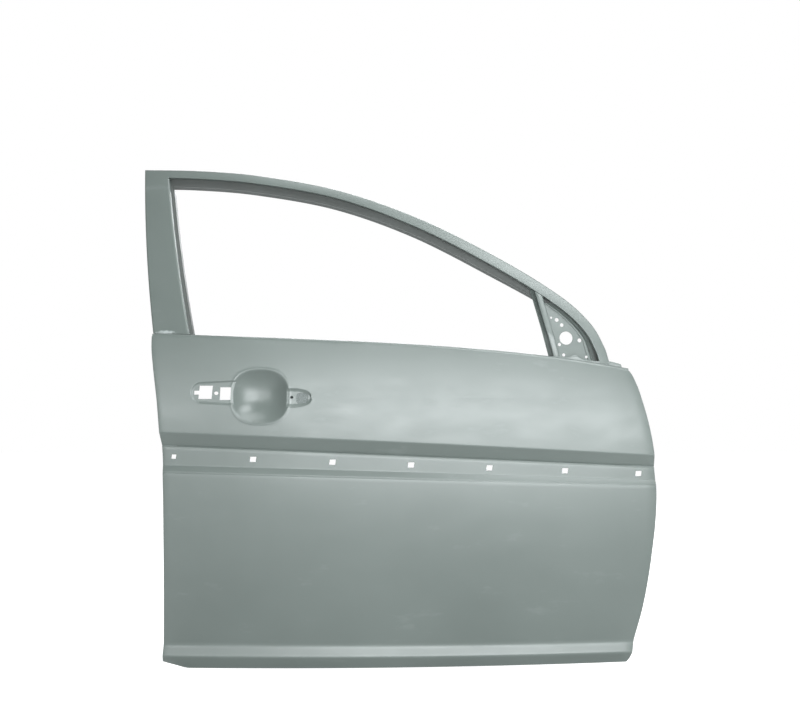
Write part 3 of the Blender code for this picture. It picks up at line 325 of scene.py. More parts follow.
def belt_line(x):
    """Height of the belt: it falls with the share of the length, and droops with its fourth power."""
    along = np.clip(x / LENGTH, 0, None)
    return BELT_HEIGHT - BELT_FALL * along - BELT_DROOP * along**4


def feature_lines(x):
    """Heights at X of hem, sill edge, cove, step, land, band, crease, and the start of the belt's roll."""
    straight = (HEM_LINE, SILL_EDGE, SILL_COVE, STEP_BOTTOM, LAND_BOTTOM, FOOT_OF_BAND, CREASE)
    lines = [falling_line(line, x) for line in straight]
    return np.stack([*lines, belt_line(x) - BELT_ROLL])


def row_height(row, x):
    """Z of a row at X: straight between feature lines, with the hem's rear corner cut off by its chamfer."""
    lines = feature_lines(x)
    from_rear = x - REAR_BOW * REAR_EDGE_SHARES[0][1]
    lines[0] += CHAMFER_HEIGHT * np.clip(1 - from_rear / CHAMFER_LENGTH, 0, 1)
    low = min(int(row), len(lines) - 2)
    return lines[low] + (row - low) * (lines[low + 1] - lines[low])


def bend(distance, soft):
    """0 before a bend and the distance after it, joined by a parabola over the soft length on each side."""
    middle = (distance + soft) ** 2 / (4 * soft)
    return np.where(distance < -soft, 0, np.where(distance > soft, distance, middle))


def ramp(z, low, high, soft_low, soft_high):
    """Rises from 0 at the low line to 1 at the high line, with soft bends at both."""
    return (bend(z - low, soft_low) - bend(z - high, soft_high)) / (high - low)


def plan_bow(x):
    """Depth of the bow seen from above: a parabola about its apex."""
    return (x - PLAN_APEX) ** 2 / (2 * PLAN_RADIUS)


def skin_in(x, z):
    """Depth of the outer face: the plan's bow, two slow curves above the crease and below the step, and the
    step, land, band, cove and sill as straight runs joined by soft bends."""
    hem, sill, cove, step, land, foot, crease, belt = feature_lines(x)
    upper = BELT_IN * np.clip((z - crease) / (belt - crease), 0, None) ** 2
    lower = (COVE_IN - STEP_IN) * np.clip((step - z) / (step - cove), 0, 1) ** 2
    cove_slope = 2 * (COVE_IN - STEP_IN) / (step - cove)
    soften = cove_slope * (bend(cove - z, SOFT_COVE) - np.clip(cove - z, 0, None))
    tuck = (HEM_IN - SILL_IN) * ramp(-z, -sill, -hem, SOFT_SILL, SOFT_SILL)
    roll = (COVE_IN - SILL_IN) * ramp(-z, -cove, -sill, SOFT_COVE, SOFT_SILL)
    land_ramp = (LAND_IN - STEP_IN) * ramp(z, step, land, SOFT_STEP, SOFT_LAND)
    band = LAND_IN * ramp(z, foot, crease, SOFT_FOOT, SOFT_CREASE)
    for line, (groove, spread) in ((foot, FOOT_GROOVE), (step, STEP_GROOVE)):
        lower = lower + groove * np.exp(-(((z - line) / spread) ** 2))
    return plan_bow(x) + STEP_IN + lower - soften - roll + tuck + land_ramp - band + upper


def cup_radius(x, z):
    """Distance from the bowl's middle, measured so that its rounded square outline lies at 1."""
    across = np.abs(x - CUP[0]) / CUP_HALF[0]
    up = np.abs(z - CUP[1]) / CUP_HALF[1]
    return (across**CUP_SQUARENESS + up**CUP_SQUARENESS) ** (1 / CUP_SQUARENESS)


def handle_press(x, z):
    """Depth of the handle seat: a bowl with a soft rim, a round-ended wing to the rear, and a tapered one
    to the front with a second shallow step inside it."""
    radius = cup_radius(x, z)
    bowl = bend(CUP_DEPTH * (1 - radius**CUP_ROUNDNESS), CUP_RIM_SOFT)
    spread = REAR_WING_HALF * (1 + REAR_WING_SPREAD * (x - REAR_WING_END) / REAR_WING_HALF)
    middle = REAR_WING_END + REAR_WING_HALF
    beside = np.hypot(np.minimum(x - middle, 0), z - REAR_WING_Z)
    rear = np.where(x < CUP[0], spread - beside, -1)
    reach = np.clip((x - CUP[0] - CUP_HALF[0]) / (FRONT_WING_TIP - CUP[0] - CUP_HALF[0]), 0, 1)
    taper = (1 - reach**FRONT_WING_POWER) ** (1 / FRONT_WING_POWER)
    front = np.where(x > CUP[0], FRONT_WING_HALF * taper - np.abs(z - FRONT_WING_Z), -1)
    wing = WING_DEPTH * ramp(np.maximum(rear, front), 0, WING_SOFT, WING_SOFT / 3, WING_SOFT / 3)
    pad = FRONT_PAD_DEPTH * ramp(front - FRONT_PAD_INSET, 0, WING_SOFT / 2, WING_SOFT / 4, WING_SOFT / 4)
    lip = CUP_LIP * np.exp(-(((radius - CUP_LIP_PLACE_SHARE) / CUP_LIP_SPREAD_SHARE) ** 2))
    return np.maximum(bowl, wing + pad) - lip


def grid_faces(rows, columns):
    """Four-cornered faces between neighbouring rows and columns of a grid."""
    index = np.arange(rows * columns).reshape(rows, columns)
    return np.stack([index[:-1, :-1], index[:-1, 1:], index[1:, 1:], index[1:, :-1]], axis=-1).reshape(-1, 4)


def new_mesh(name, points, faces):
    """A mesh from design points and four-cornered faces, moved to the hinge face and shaded smooth."""
    mesh = bpy.data.meshes.new(name)
    faces = np.asarray(faces)
    mesh.vertices.add(len(points))
    mesh.vertices.foreach_set("co", (np.asarray(points).reshape(-1, 3) - DATUM).astype(np.float32).ravel())
    mesh.loops.add(faces.size)
    mesh.loops.foreach_set("vertex_index", faces.astype(np.int32).ravel())
    mesh.polygons.add(len(faces))
    mesh.polygons.foreach_set("loop_start", np.arange(0, faces.size, faces.shape[1], dtype=np.int32))
    mesh.update(calc_edges=True)
    mesh.validate()
    mesh.shade_smooth()
    return mesh


def prism(outline, low, high):
    """A closed block with an outline in X and Z, anticlockwise from outside the car, from one depth to
    another. Returns its points and its faces."""
    count = len(outline)
    rings = [np.stack([outline[:, 0], np.full(count, depth), outline[:, 1]], axis=1) for depth in (low, high)]
    step = np.arange(count)
    after = (step + 1) % count
    sides = np.stack([after, step, step + count, after + count], axis=1)
    return np.concatenate(rings), [*sides.tolist(), step.tolist(), (step[::-1] + count).tolist()]


def round_outline(x, z, half_x, half_z, power=2.0, count=32):
    """An oval: a circle's cosine and sine raised to 2 / power, so 2 is an ellipse and 8 nearly a rectangle."""
    angle = np.linspace(0, 2 * np.pi, count, endpoint=False) + np.pi / count
    across = np.sign(np.cos(angle)) * np.abs(np.cos(angle)) ** (2 / power)
    up = np.sign(np.sin(angle)) * np.abs(np.sin(angle)) ** (2 / power)
    return np.stack([x + half_x * across, z + half_z * up], axis=1)


def slanted_outline(x, z, half_x, half_z, slant=0.12):
    """A parallelogram with upright sides leaning forward."""
    side, up = np.array(((-1, -1), (1, -1), (1, 1), (-1, 1))).T
    return np.stack([x + side * half_x + slant * up * half_z, z + up * half_z], axis=1)


def cutter_collection(blocks):
    """A collection with one object for each closed block."""
    group = bpy.data.collections.new("cutters")
    bpy.context.scene.collection.children.link(group)
    for points, faces in blocks:
        mesh = bpy.data.meshes.new("cutter")
        mesh.from_pydata((points - DATUM).tolist(), [], faces)
        group.objects.link(bpy.data.objects.new("cutter", mesh))
    return group


def add_object(name, data):
    """An object for a mesh, lamp or camera, linked to the scene."""
    obj = bpy.data.objects.new(name, data)
    bpy.context.scene.collection.objects.link(obj)
    return obj


def bake_modifiers(obj):
    """Turns an object's live modifiers into its own mesh."""
    graph = bpy.context.evaluated_depsgraph_get()
    made = bpy.data.meshes.new_from_object(obj.evaluated_get(graph))
    obj.modifiers.clear()
    obj.data = made
    return obj


def dress_grid(name, sheet, *rest):
    """Dresses a grid of points."""
    return dress(name, sheet.reshape(-1, 3), grid_faces(*sheet.shape[:2]), *rest)


def dress(name, points, faces, thickness, material, slot, nodes, holes=()):
    """A sheet with a wall behind its face and holes through it, riding on the shell in place of CAD nodes."""
    obj = add_object(name, new_mesh(name, points, faces))
    obj.modifiers.new("weld", "WELD").merge_threshold = MERGE
    wall = obj.modifiers.new("wall", "SOLIDIFY")
    wall.thickness = thickness
    wall.offset = -1.0
    wall.use_even_offset = True
    wall.use_quality_normals = True
    if holes:
        cutters = cutter_collection(holes)
        cut = obj.modifiers.new("holes", "BOOLEAN")
        cut.operation = "DIFFERENCE"
        cut.solver = "EXACT"
        cut.operand_type = "COLLECTION"
        cut.collection = cutters
    bake_modifiers(obj)
    if holes:
        for cutter in list(cutters.objects):
            bpy.data.objects.remove(cutter, do_unlink=True)
        bpy.data.collections.remove(cutters)
    obj.data.set_sharp_from_angle(angle=SHARP_FOLD)
    obj.data.materials.clear()
    obj.data.materials.append(material)
    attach(obj, "root")
    if nodes:
        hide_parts(*nodes)
    return obj


# Materials


def linear(hex_colour):
    """An sRGB hex colour as linear red, green, blue and a full alpha."""
    values = np.array([int(hex_colour[k : k + 2], 16) for k in (1, 3, 5)]) / 255
    low = values / 12.92
    high = ((values + 0.055) / 1.055) ** 2.4
    return (*np.where(values <= 0.04045, low, high).tolist(), 1.0)


def add_node(tree, kind, inputs=None, **settings):
    """Adds a node with its settings, and links or sets its inputs."""
    made = tree.nodes.new(kind)
    for name, value in settings.items():
        setattr(made, name, value)
    for name, value in (inputs or {}).items():
        if isinstance(value, bpy.types.NodeSocket):
            tree.links.new(value, made.inputs[name])
        else:
            made.inputs[name].default_value = value
    return made


def start_material(name):
    """A material with its node tree, its shader and the place of each point on the object."""
    made = bpy.data.materials.new(name)
    made.use_nodes = True
    tree = made.node_tree
    place = add_node(tree, "ShaderNodeTexCoord").outputs["Object"]
    return made, tree, tree.nodes["Principled BSDF"], place


def electro_coat(name, pale, deep, roughness, tint=None):
    """Cathodic dip primer, baked on pressed steel: a satin film that follows every bend, with faint cloudy
    differences in thickness, a fine orange peel and the odd wiped or rubbed patch."""
    made, tree, shader, place = start_material(name)
    # clouds of film thickness about 300 mm across
    cloud = add_node(tree, "ShaderNodeTexNoise",
                     {"Vector": place, "Scale": 3.3, "Detail": 3.0, "Roughness": 0.45})
    # wipe marks about 40 mm long, drawn out along the door
    along = add_node(tree, "ShaderNodeMapping", {"Vector": place, "Scale": (9.0, 25.0, 25.0)})
    wipe = add_node(tree, "ShaderNodeTexNoise",
                    {"Vector": along.outputs[0], "Scale": 1.0, "Detail": 4.0, "Roughness": 0.6})
    rub = add_node(tree, "ShaderNodeMapRange",
                   {"Value": wipe.outputs[0], "From Min": 0.62, "From Max": 0.80, "To Max": 0.10})
    spread = add_node(tree, "ShaderNodeMapRange",
                      {"Value": cloud.outputs[0], "From Min": 0.30, "From Max": 0.70})
    body = add_node(tree, "ShaderNodeMix",
                    {"Factor": spread.outputs[0], 6: linear(deep), 7: linear(pale)}, data_type="RGBA")
    worn = add_node(tree, "ShaderNodeMix",
                    {"Factor": rub.outputs[0], 6: body.outputs[2], 7: linear("#c4ccca")}, data_type="RGBA")
    colour = tint(tree, place, worn.outputs[2]) if tint else worn.outputs[2]
    # dust nibs and pinholes, about 2.5 mm apart
    nibs = add_node(tree, "ShaderNodeTexNoise", {"Vector": place, "Scale": 420.0, "Detail": 2.0})
    gloss = add_node(tree, "ShaderNodeMapRange",
                     {"Value": wipe.outputs[0], "From Min": 0.35, "From Max": 0.70,
                      "To Min": roughness - 0.03, "To Max": roughness + 0.06})
    peel = add_node(tree, "ShaderNodeBump", {"Height": nibs.outputs[0], "Strength": 0.03, "Distance": 0.00012})
    tree.links.new(colour, shader.inputs["Base Color"])
    tree.links.new(gloss.outputs[0], shader.inputs["Roughness"])
    tree.links.new(peel.outputs[0], shader.inputs["Normal"])
    shader.inputs["IOR"].default_value = 1.6  # epoxy film
    shader.inputs["Specular IOR Level"].default_value = 0.7
    return made


SMEAR_PLACE = (0.0020, 0.031, 0.7535)
SMEAR_SCALE = (38.0, 20.0, 190.0)  # one over its half length, depth and height


def filler_smear(tree, place, colour):
    """Body solder wiped over the joint at the foot of the rear pillar, paler than the primer round it."""
    centre = np.array(SMEAR_PLACE) - DATUM
    moved = {"Vector": place, "Location": tuple(-centre * SMEAR_SCALE), "Scale": SMEAR_SCALE}
    flat = add_node(tree, "ShaderNodeMapping", moved)
    reach = add_node(tree, "ShaderNodeVectorMath", {0: flat.outputs[0]}, operation="LENGTH")
    # grit about 6 mm across, which makes its edge ragged
    grain = add_node(tree, "ShaderNodeTexNoise", {"Vector": place, "Scale": 160.0, "Detail": 3.0})
    edge = add_node(tree, "ShaderNodeMath", {0: reach.outputs["Value"], 1: grain.outputs[0]}, operation="ADD")
    mask = add_node(tree, "ShaderNodeMapRange",
                    {"Value": edge.outputs[0], "From Min": 1.5, "From Max": 0.9, "To Max": 0.75})
    mixed = add_node(tree, "ShaderNodeMix",
                     {"Factor": mask.outputs[0], 6: colour, 7: linear("#ccd3d2")}, data_type="RGBA")
    return mixed.outputs[2]


PRIMER = electro_coat("electro_coat_primer_outside", "#767f7b", "#6f7874", 0.33)
PRIMER_FRAME = electro_coat("electro_coat_primer_frame", "#767f7b", "#6f7874", 0.33, filler_smear)
PRIMER_INSIDE = electro_coat("electro_coat_primer_inside", "#7f8885", "#767f7c", 0.48)
# the glass channel's primer is a darker, greyer copy of the same primer: painted shade for the recess behind
# the frame's face
PRIMER_CHANNEL_PAINTED_SHADE = electro_coat("electro_coat_primer_channel_painted_shade", "#6f7270", "#656866", 0.50)
PRIMER_NUT = electro_coat("electro_coat_primer_nut", "#7b8481", "#6d7673", 0.48)


def felt(name, pale, deep):
    """Needled polyester felt: a matt mat of short fibres, with tufts about 1.5 mm across."""
    made, tree, shader, place = start_material(name)
    tuft = add_node(tree, "ShaderNodeTexNoise",
                    {"Vector": place, "Scale": 650.0, "Detail": 3.0, "Roughness": 0.7})
    spread = add_node(tree, "ShaderNodeMapRange",
                      {"Value": tuft.outputs[0], "From Min": 0.35, "From Max": 0.65})
    tone = add_node(tree, "ShaderNodeMix",
                    {"Factor": spread.outputs[0], 6: linear(deep), 7: linear(pale)}, data_type="RGBA")
    relief = add_node(tree, "ShaderNodeBump", {"Height": tuft.outputs[0], "Strength": 0.5, "Distance": 0.001})
    tree.links.new(tone.outputs[2], shader.inputs["Base Color"])
    tree.links.new(relief.outputs[0], shader.inputs["Normal"])
    shader.inputs["Roughness"].default_value = 0.9
    return made


FELT = felt("needled_felt", "#949b99", "#666d6b")


# Outer skin


def skin_rows():
    """Rows from hem to belt roll: close together at every bend and over the handle seat."""
    x = CUP[0]
    hem, sill, cove, step, land, foot, crease, belt = (row_height(row, x) for row in range(8))
    near = np.array((-1.0, -0.6, -0.2, 0.2, 0.6, 1.0))
    heights = [np.linspace(hem, sill - 2 * SOFT_SILL, 5), sill + 2 * near * SOFT_SILL]
    heights += [cove + 1.5 * near * SOFT_COVE, np.linspace(cove + 0.02, step - 0.01, 32)]
    for line, soft in ((step, SOFT_STEP), (land, SOFT_LAND), (foot, SOFT_FOOT), (crease, SOFT_CREASE)):
        heights += [line + near * max(2 * soft, 0.0026)]
    heights += [np.linspace(land + 0.01, foot - 0.01, 3), np.linspace(foot + 0.006, crease - 0.006, 4)]
    cup_low, cup_high = CUP[1] - CUP_HALF[1], CUP[1] + CUP_HALF[1]
    heights += [np.linspace(crease + 0.006, cup_low - 0.002, 14), np.linspace(cup_low, cup_high, 75)]
    heights += [np.linspace(cup_high + 0.002, belt, 34)]
    heights = np.unique(np.round(np.concatenate(heights), 6))
    lines = np.array((hem, sill, cove, step, land, foot, crease, belt))
    return np.interp(heights, lines, np.arange(8))


def skin_columns():
    """Shares of the width from rear to front edge: close together over the handle seat."""
    rear, front = rear_edge(CUP[1]), front_edge(CUP[1])
    cup_low, cup_high = CUP[0] - CUP_HALF[0], CUP[0] + CUP_HALF[0]
    places = [np.linspace(rear, 0.058, 7), np.linspace(0.060, cup_low, 60)]
    places += [np.linspace(cup_low, cup_high, 81), np.linspace(cup_high, 0.338, 38)]
    places += [np.linspace(0.345, front, 34)]
    return (np.unique(np.round(np.concatenate(places), 6)) - rear) / (front - rear)


def skin_grid(rows, columns):
    """X and Z of each grid point: rows follow the feature lines, columns share out each row's width."""
    x = np.outer(np.ones(len(rows)), columns * LENGTH)
    for _ in range(6):
        z = np.array([row_height(row, x[n]) for n, row in enumerate(rows)])
        x = rear_edge(z) + columns * (front_edge(z) - rear_edge(z))
    return x, z


def ring_grid(x, z):
    """Turns the square rings of the grid round the cup into rounded ones, less and less away from its rim."""
    square = np.maximum(np.abs(x - CUP[0]) / CUP_HALF[0], np.abs(z - CUP[1]) / CUP_HALF[1])
    weight = np.clip((1.45 - square) / 0.45, 0, 1)
    stretch = 1 + weight * (square / np.maximum(cup_radius(x, z), 1e-9) - 1)
    return CUP[0] + (x - CUP[0]) * stretch, CUP[1] + (z - CUP[1]) * stretch


def outward_normals(x, z):
    """Unit directions out of the door's outline, in X and Z, at each point of an open path round it."""
    steps = np.diff(np.stack([x, z], axis=1), axis=0)
    steps /= np.linalg.norm(steps, axis=1, keepdims=True)
    sides = np.stack([steps[:, 1], -steps[:, 0]], axis=1)
    middle = np.concatenate([sides[:1], sides]) + np.concatenate([sides, sides[-1:]])
    return middle / np.linalg.norm(middle, axis=1, keepdims=True)


def hem_rings(edge, edge_rows):
    """Lines of points that fold the skin's edge back on itself: half a turn, then a flat return."""
    out = outward_normals(edge[:, 0], edge[:, 2])
    rings = []
    for turn in np.radians((30, 60, 90, 120, 150, 180)):
        reach = HEM_STACK / 2 * np.sin(turn) * 0.75
        depth = HEM_STACK / 2 * (1 - np.cos(turn))
        rings.append(edge + np.stack([out[:, 0] * reach, np.full(len(out), depth), out[:, 1] * reach], axis=1))
    x = edge[:, 0].copy()
    bottom = edge_rows == 0
    at_side = ~bottom | (x == x[bottom].min()) | (x == x[bottom].max())
    x += HEM_DEPTH * at_side * np.where(x < LENGTH / 2, 1, -1)
    z = np.array([row_height(row, place) for row, place in zip(edge_rows, x)])
    z += HEM_DEPTH * np.clip(1 - edge_rows, 0, 1)
    rings.append(np.stack([x, skin_in(x, z) + HEM_STACK, z], axis=1))
    return rings


PAD = (0.3115, 0.6072, 0.0150, 0.0132)  # X, Z, half width and half height
PAD_GAP = 0.0008
CLIP = (0.0066, 0.0056)  # half width and half height of a clip hole
FIRST_CLIP = (0.0048, 0.0047)
CLIP_CLEARANCE = 0.003  # how much further the panel behind is cut, on each side


def clip_holes():
    """Centres of the holes for the rubbing strip's clips, along the middle of the land."""
    for share in (0.0222, 0.1824, 0.342, 0.4994, 0.6574, 0.8116, 0.964):
        x = share * LENGTH
        lines = feature_lines(x)
        yield x, (lines[4] + lines[5]) / 2 - 0.0025


def build_skin():
    """The outer pressing: the face with its belt fold, hemmed at the bottom and both ends, and its holes."""
    rows = skin_rows()
    x, z = ring_grid(*skin_grid(rows, skin_columns()))
    sheet = np.stack([x, skin_in(x, z) + handle_press(x, z), z], axis=-1)
    fold = np.array(BELT_FOLD)
    rolled = sheet[-1] + np.stack([np.zeros(len(fold)), fold[:, 0], fold[:, 1]], axis=1)[:, None]
    sheet = np.concatenate([sheet, rolled])
    count_rows, count_columns = len(rows), x.shape[1]
    index = np.arange(sheet.shape[0] * count_columns).reshape(sheet.shape[0], count_columns)
    rim = np.concatenate([index[count_rows - 1 : 0 : -1, 0], index[0], index[1:count_rows, -1]])
    points = sheet.reshape(-1, 3)
    edge = points[rim]
    rings = hem_rings(edge, np.concatenate([rows[:0:-1], np.zeros(count_columns), rows[1:]]))
    ring_index = len(points) + np.arange(len(rings) * len(rim)).reshape(len(rings), len(rim))
    ring_index = np.concatenate([rim[None], ring_index])
    near, far = ring_index[:-1], ring_index[1:]
    hem = np.stack([near[:, 1:], near[:, :-1], far[:, :-1], far[:, 1:]], axis=-1)
    faces = np.concatenate([grid_faces(sheet.shape[0], count_columns), hem.reshape(-1, 4)])
    sizes = [FIRST_CLIP] + [CLIP] * 6
    outlines = [slanted_outline(*place, *size) for place, size in zip(clip_holes(), sizes)]
    outlines += [
        slanted_outline(0.0978, 0.6200, 0.0146, 0.0145, 0.10),
        slanted_outline(0.0796, 0.6192, 0.0070, 0.0042, 0.0),
        round_outline(0.1215, 0.6180, 0.0046, 0.0038),
        slanted_outline(0.1417, 0.6172, 0.0118, 0.0138, 0.05),
        round_outline(0.2885, 0.6090, 0.0032, 0.0032),
        round_outline(0.3115, 0.6072, 0.0130, 0.0112, 5.0),
    ]
    blocks = [prism(outline, *SKIN_DEPTHS) for outline in outlines]
    return dress("outer_skin_pressing", np.concatenate([points, *rings]), faces, SKIN_SHEET, PRIMER,
                 "electro_coat_primer", ["outer_skin"], blocks)


# Inner panel


def panel_row_height(row, x):
    """Z of a panel row: as on the skin, but below the sill edge a row keeps its distance from the hem."""
    if row >= 1:
        return row_height(row, x)
    hem = row_height(0, x)
    lines = feature_lines(x)
    return hem + np.minimum(row * (lines[1] - lines[0]), np.sqrt(row) * (lines[1] - hem))


def flange_in(x, z):
    """Depth of the panel where it lies on the skin, with room for the skin's sheet on a slope."""
    slope = np.abs(skin_in(x, z + 0.002) - skin_in(x, z - 0.002)) / 0.004
    return skin_in(x, z) + (SKIN_SHEET + SPOT_GAP) * np.sqrt(1 + slope**2)


def round_corner(before, here, after, steps=5):
    """Points of a quadratic curve that rounds the corner between two straight runs, for every row at once."""
    reaches = []
    for end in (before, after):
        span = np.linalg.norm(end - here, axis=1, keepdims=True)
        reaches.append(here + (end - here) * np.minimum(0.45, WALL_ROUND / span))
    share = np.linspace(0, 1, steps)[:, None, None]
    return (1 - share) ** 2 * reaches[0] + 2 * share * (1 - share) * here + share**2 * reaches[1]


def panel_section(rows, x):
    """X and depth across every row, rounded: flange, latch wall, ledge, inner face, hinge wall, flange."""
    ends = np.stack([panel_row_height(row, x[n, [0, -1]]) for n, row in enumerate(rows)])
    rear = rear_edge(ends[:, 0])
    front = front_edge(ends[:, 1])
    latch_wall = np.full(len(rows), LATCH_FACE_X + PANEL_SHEET)
    hinge_wall = np.minimum(HINGE_FACE_X - PANEL_SHEET, front - FLANGE_WIDTH - 2 * WALL_DRAFT)
    ledge_end = latch_wall + LEDGE_WIDTH
    places = [rear + FLANGE_INSET, latch_wall, latch_wall, ledge_end, ledge_end + WALL_DRAFT]
    places += [hinge_wall, hinge_wall, front - FLANGE_INSET]
    depths = [None, None, LEDGE_IN, LEDGE_IN, INNER_IN, INNER_IN, None, None]
    knots = []
    for place, depth in zip(places, depths):
        if depth is None:
            z = np.array([panel_row_height(row, place[n]) for n, row in enumerate(rows)])
            depth = flange_in(place, z)
        knots.append(np.stack([place, np.broadcast_to(depth, place.shape)], axis=1))
    corners = [round_corner(*knots[k - 1 : k + 2]) for k in range(1, 7)]
    along = np.linspace(0, 1, 190)[1:-1, None, None]
    few = np.linspace(0, 1, 6)[:-1, None, None]
    middle = corners[3][-1] * (1 - along) + corners[4][0] * along
    rear_flange = knots[0] * (1 - few) + corners[0][0] * few
    front_flange = (corners[5][-1] * few + knots[7] * (1 - few))[::-1]
    section = np.concatenate([rear_flange, *corners[:4], middle, *corners[4:], front_flange])
    return section[..., 0].T, section[..., 1].T


def softer_minimum(a, b, soft):
    """The smaller of two depths, with the corner where they cross rounded off."""
    return np.minimum(a, b) - np.maximum(soft - np.abs(a - b), 0) ** 2 / (4 * soft)


def panel_presses(x, z):
    """Depth of the seats round the openings and of the stiffening beads, from distances to their outlines."""
    depth = np.zeros_like(x)
    for low_x, high_x, low_z, high_z in APERTURES:
        beside = np.abs(x - (low_x + high_x) / 2) - (high_x - low_x) / 2 + APERTURE_RADIUS
        above = np.abs(z - (low_z + high_z) / 2) - (high_z - low_z) / 2 + APERTURE_RADIUS
        away = np.hypot(np.maximum(beside, 0), np.maximum(above, 0)) - APERTURE_RADIUS
        depth = np.maximum(depth, seat_press(away, *APERTURE_SEAT))
    away = np.hypot(x - SPEAKER[0], z - SPEAKER[1]) - SPEAKER[2]
    depth = np.maximum(depth, seat_press(away, *SPEAKER_SEAT))
    for start_x, start_z, end_x, end_z, half in BEADS:
        run = np.array((end_x - start_x, end_z - start_z))
        share = np.clip(((x - start_x) * run[0] + (z - start_z) * run[1]) / (run @ run), 0, 1)
        away = np.hypot(x - start_x - share * run[0], z - start_z - share * run[1])
        depth = np.maximum(depth, seat_press(away, half - 0.006, half + 0.004, BEAD_DEPTH))
    return depth


def seat_press(away, low, high, depth):
    """Depth of a pressing: full up to the low distance from its outline, and none from the high one on."""
    return depth * (1 - ramp(away, low, high, 0.0025, 0.0025))


def rounded_box(low_x, high_x, low_z, high_z, radius):
    """A rectangle whose corners are arcs of six points each."""
    turn = np.linspace(0, np.pi / 2, 6)
    left, right, bottom, top = low_x + radius, high_x - radius, low_z + radius, high_z - radius
    points = []
    for quarter, centre in enumerate(((right, top), (left, top), (left, bottom), (right, bottom))):
        angle = turn + quarter * np.pi / 2
        points.append(centre + radius * np.stack([np.cos(angle), np.sin(angle)], axis=1))
    return np.concatenate(points)


def along_x(block):
    """A block turned so that its depth runs along X."""
    points, faces = block
    return points[:, [1, 0, 2]], [face[::-1] for face in faces]


def round_hole(x, z, radius, depths):
    """A round block that cuts a hole."""
    return prism(round_outline(x, z, radius, radius), *depths)


def panel_holes():
    """Blocks that cut every opening and hole of the inner panel."""
    blocks = [prism(rounded_box(*aperture, APERTURE_RADIUS), *PANEL_DEPTHS) for aperture in APERTURES]
    x, z, radius = SPEAKER
    blocks.append(prism(round_outline(x, z, radius, radius, count=96), *PANEL_DEPTHS))
    for share_x, share_z in SERVICE_SHARES:
        blocks.append(round_hole(share_x * LENGTH, share_z * BELT_HEIGHT, SERVICE_RADIUS, PANEL_DEPTHS))
    blocks.append(prism(slanted_outline(*LOCK_ACCESS, 0.0), *LEDGE_DEPTHS))
    for x, z in clip_holes():
        if x < LATCH_FACE_X or x > HINGE_FACE_X:
            larger = slanted_outline(x, z, CLIP[0] + CLIP_CLEARANCE, CLIP[1] + CLIP_CLEARANCE)
            blocks.append(prism(larger, *SKIN_DEPTHS))
    through = (HINGE_FACE_X - WALL_REACH, HINGE_FACE_X + WALL_REACH)
    for z, radius in HINGE_BOLTS:
        blocks.append(along_x(round_hole(HINGE_IN, z, radius, through)))
    through = (LATCH_FACE_X - WALL_REACH, LATCH_FACE_X + WALL_REACH)
    y, z, radius = LATCH
    blocks.append(along_x(round_hole(y, z, radius, through)))
    for inwards, up in LATCH_SCREWS:
        blocks.append(along_x(round_hole(y + inwards, z + up, LATCH_SCREW_RADIUS, through)))
    return blocks


def build_inner_panel():
    """The inner stamping: it lies on the skin inside the hem, stands up to a ledge, steps to the flat inner
    face with its openings, seats and beads, and comes back out to a shelf at the belt."""
    middle_x = CUP[0]
    lines = feature_lines(middle_x)
    hem, sill, cove = lines[:3]
    crease, belt = lines[-2:]
    shelf = 7 - SHELF_DROP / (belt - crease)
    shoulder = 7 - SHELF_RISE / (belt - crease)
    near = np.linspace(-0.0016, 0.0016, 5)
    wall_top = FLANGE_WIDTH + 2 * WALL_DRAFT
    flange = np.concatenate([[FLANGE_INSET, 0.005, 0.009], FLANGE_WIDTH + near, wall_top + near])
    ledge_end = SILL_LEDGE + WALL_DRAFT / 2
    ledge = np.concatenate([np.linspace(0, 0.016, 4), ledge_end + np.linspace(-0.002, 0.002, 9)])
    shelf_height = belt - SHELF_DROP
    heights = np.linspace(cove + 0.002, shelf_height - 0.006, 146)
    heights = np.concatenate([heights, np.linspace(shelf_height - 0.003, belt, 22)])
    above = np.interp(heights, lines, np.arange(8))
    rows = np.concatenate([np.unique(flange) / (sill - hem), 1 + ledge / (cove - sill), above])
    x = np.tile((0.0, LENGTH), (len(rows), 1))
    for _ in range(6):
        x, by_column = panel_section(rows, x)
    z = np.array([panel_row_height(row, x[n]) for n, row in enumerate(rows)])
    on_skin = flange_in(x, z)
    from_hem = (rows * (sill - hem))[:, None]
    from_sill = ((rows - 1) * (cove - sill))[:, None]
    high = INNER_IN + 0.012
    by_row = on_skin + (LEDGE_IN - on_skin) * ramp(from_hem, FLANGE_WIDTH, wall_top, 0.0009, 0.0009)
    by_row += (high - LEDGE_IN) * ramp(from_sill, SILL_LEDGE, SILL_LEDGE + WALL_DRAFT, 0.0007, 0.0007)
    at_belt = plan_bow(x) + SHELF_IN
    up = (shoulder - rows[:, None]) / (shoulder - shelf)
    by_shelf = at_belt + (INNER_IN - at_belt) * bend(up, 0.12)
    y = softer_minimum(by_column, softer_minimum(by_row, by_shelf, 0.005), 0.005)
    y = np.maximum(y - panel_presses(x, z) * (y > INNER_IN - 0.02), on_skin)
    sheet = np.stack([x, y, z], axis=-1)
    dress_grid("inner_panel_pressing", sheet, PANEL_SHEET, PRIMER_INSIDE, "electro_coat_primer_inside",
               ["inner_panel"], panel_holes())


# Window frame


def frame_in(x, z):
    """Depth of the window frame's outer face: it leans and curls inwards above the belt."""
    rise = z - FRAME_DATUM_Z
    lean = FRAME_LEAN_SHARE * rise + rise**2 / (2 * FRAME_LEAN_RADIUS)
    return FRAME_BASE_IN + FRAME_PLAN_SHARE * plan_bow(x) + lean


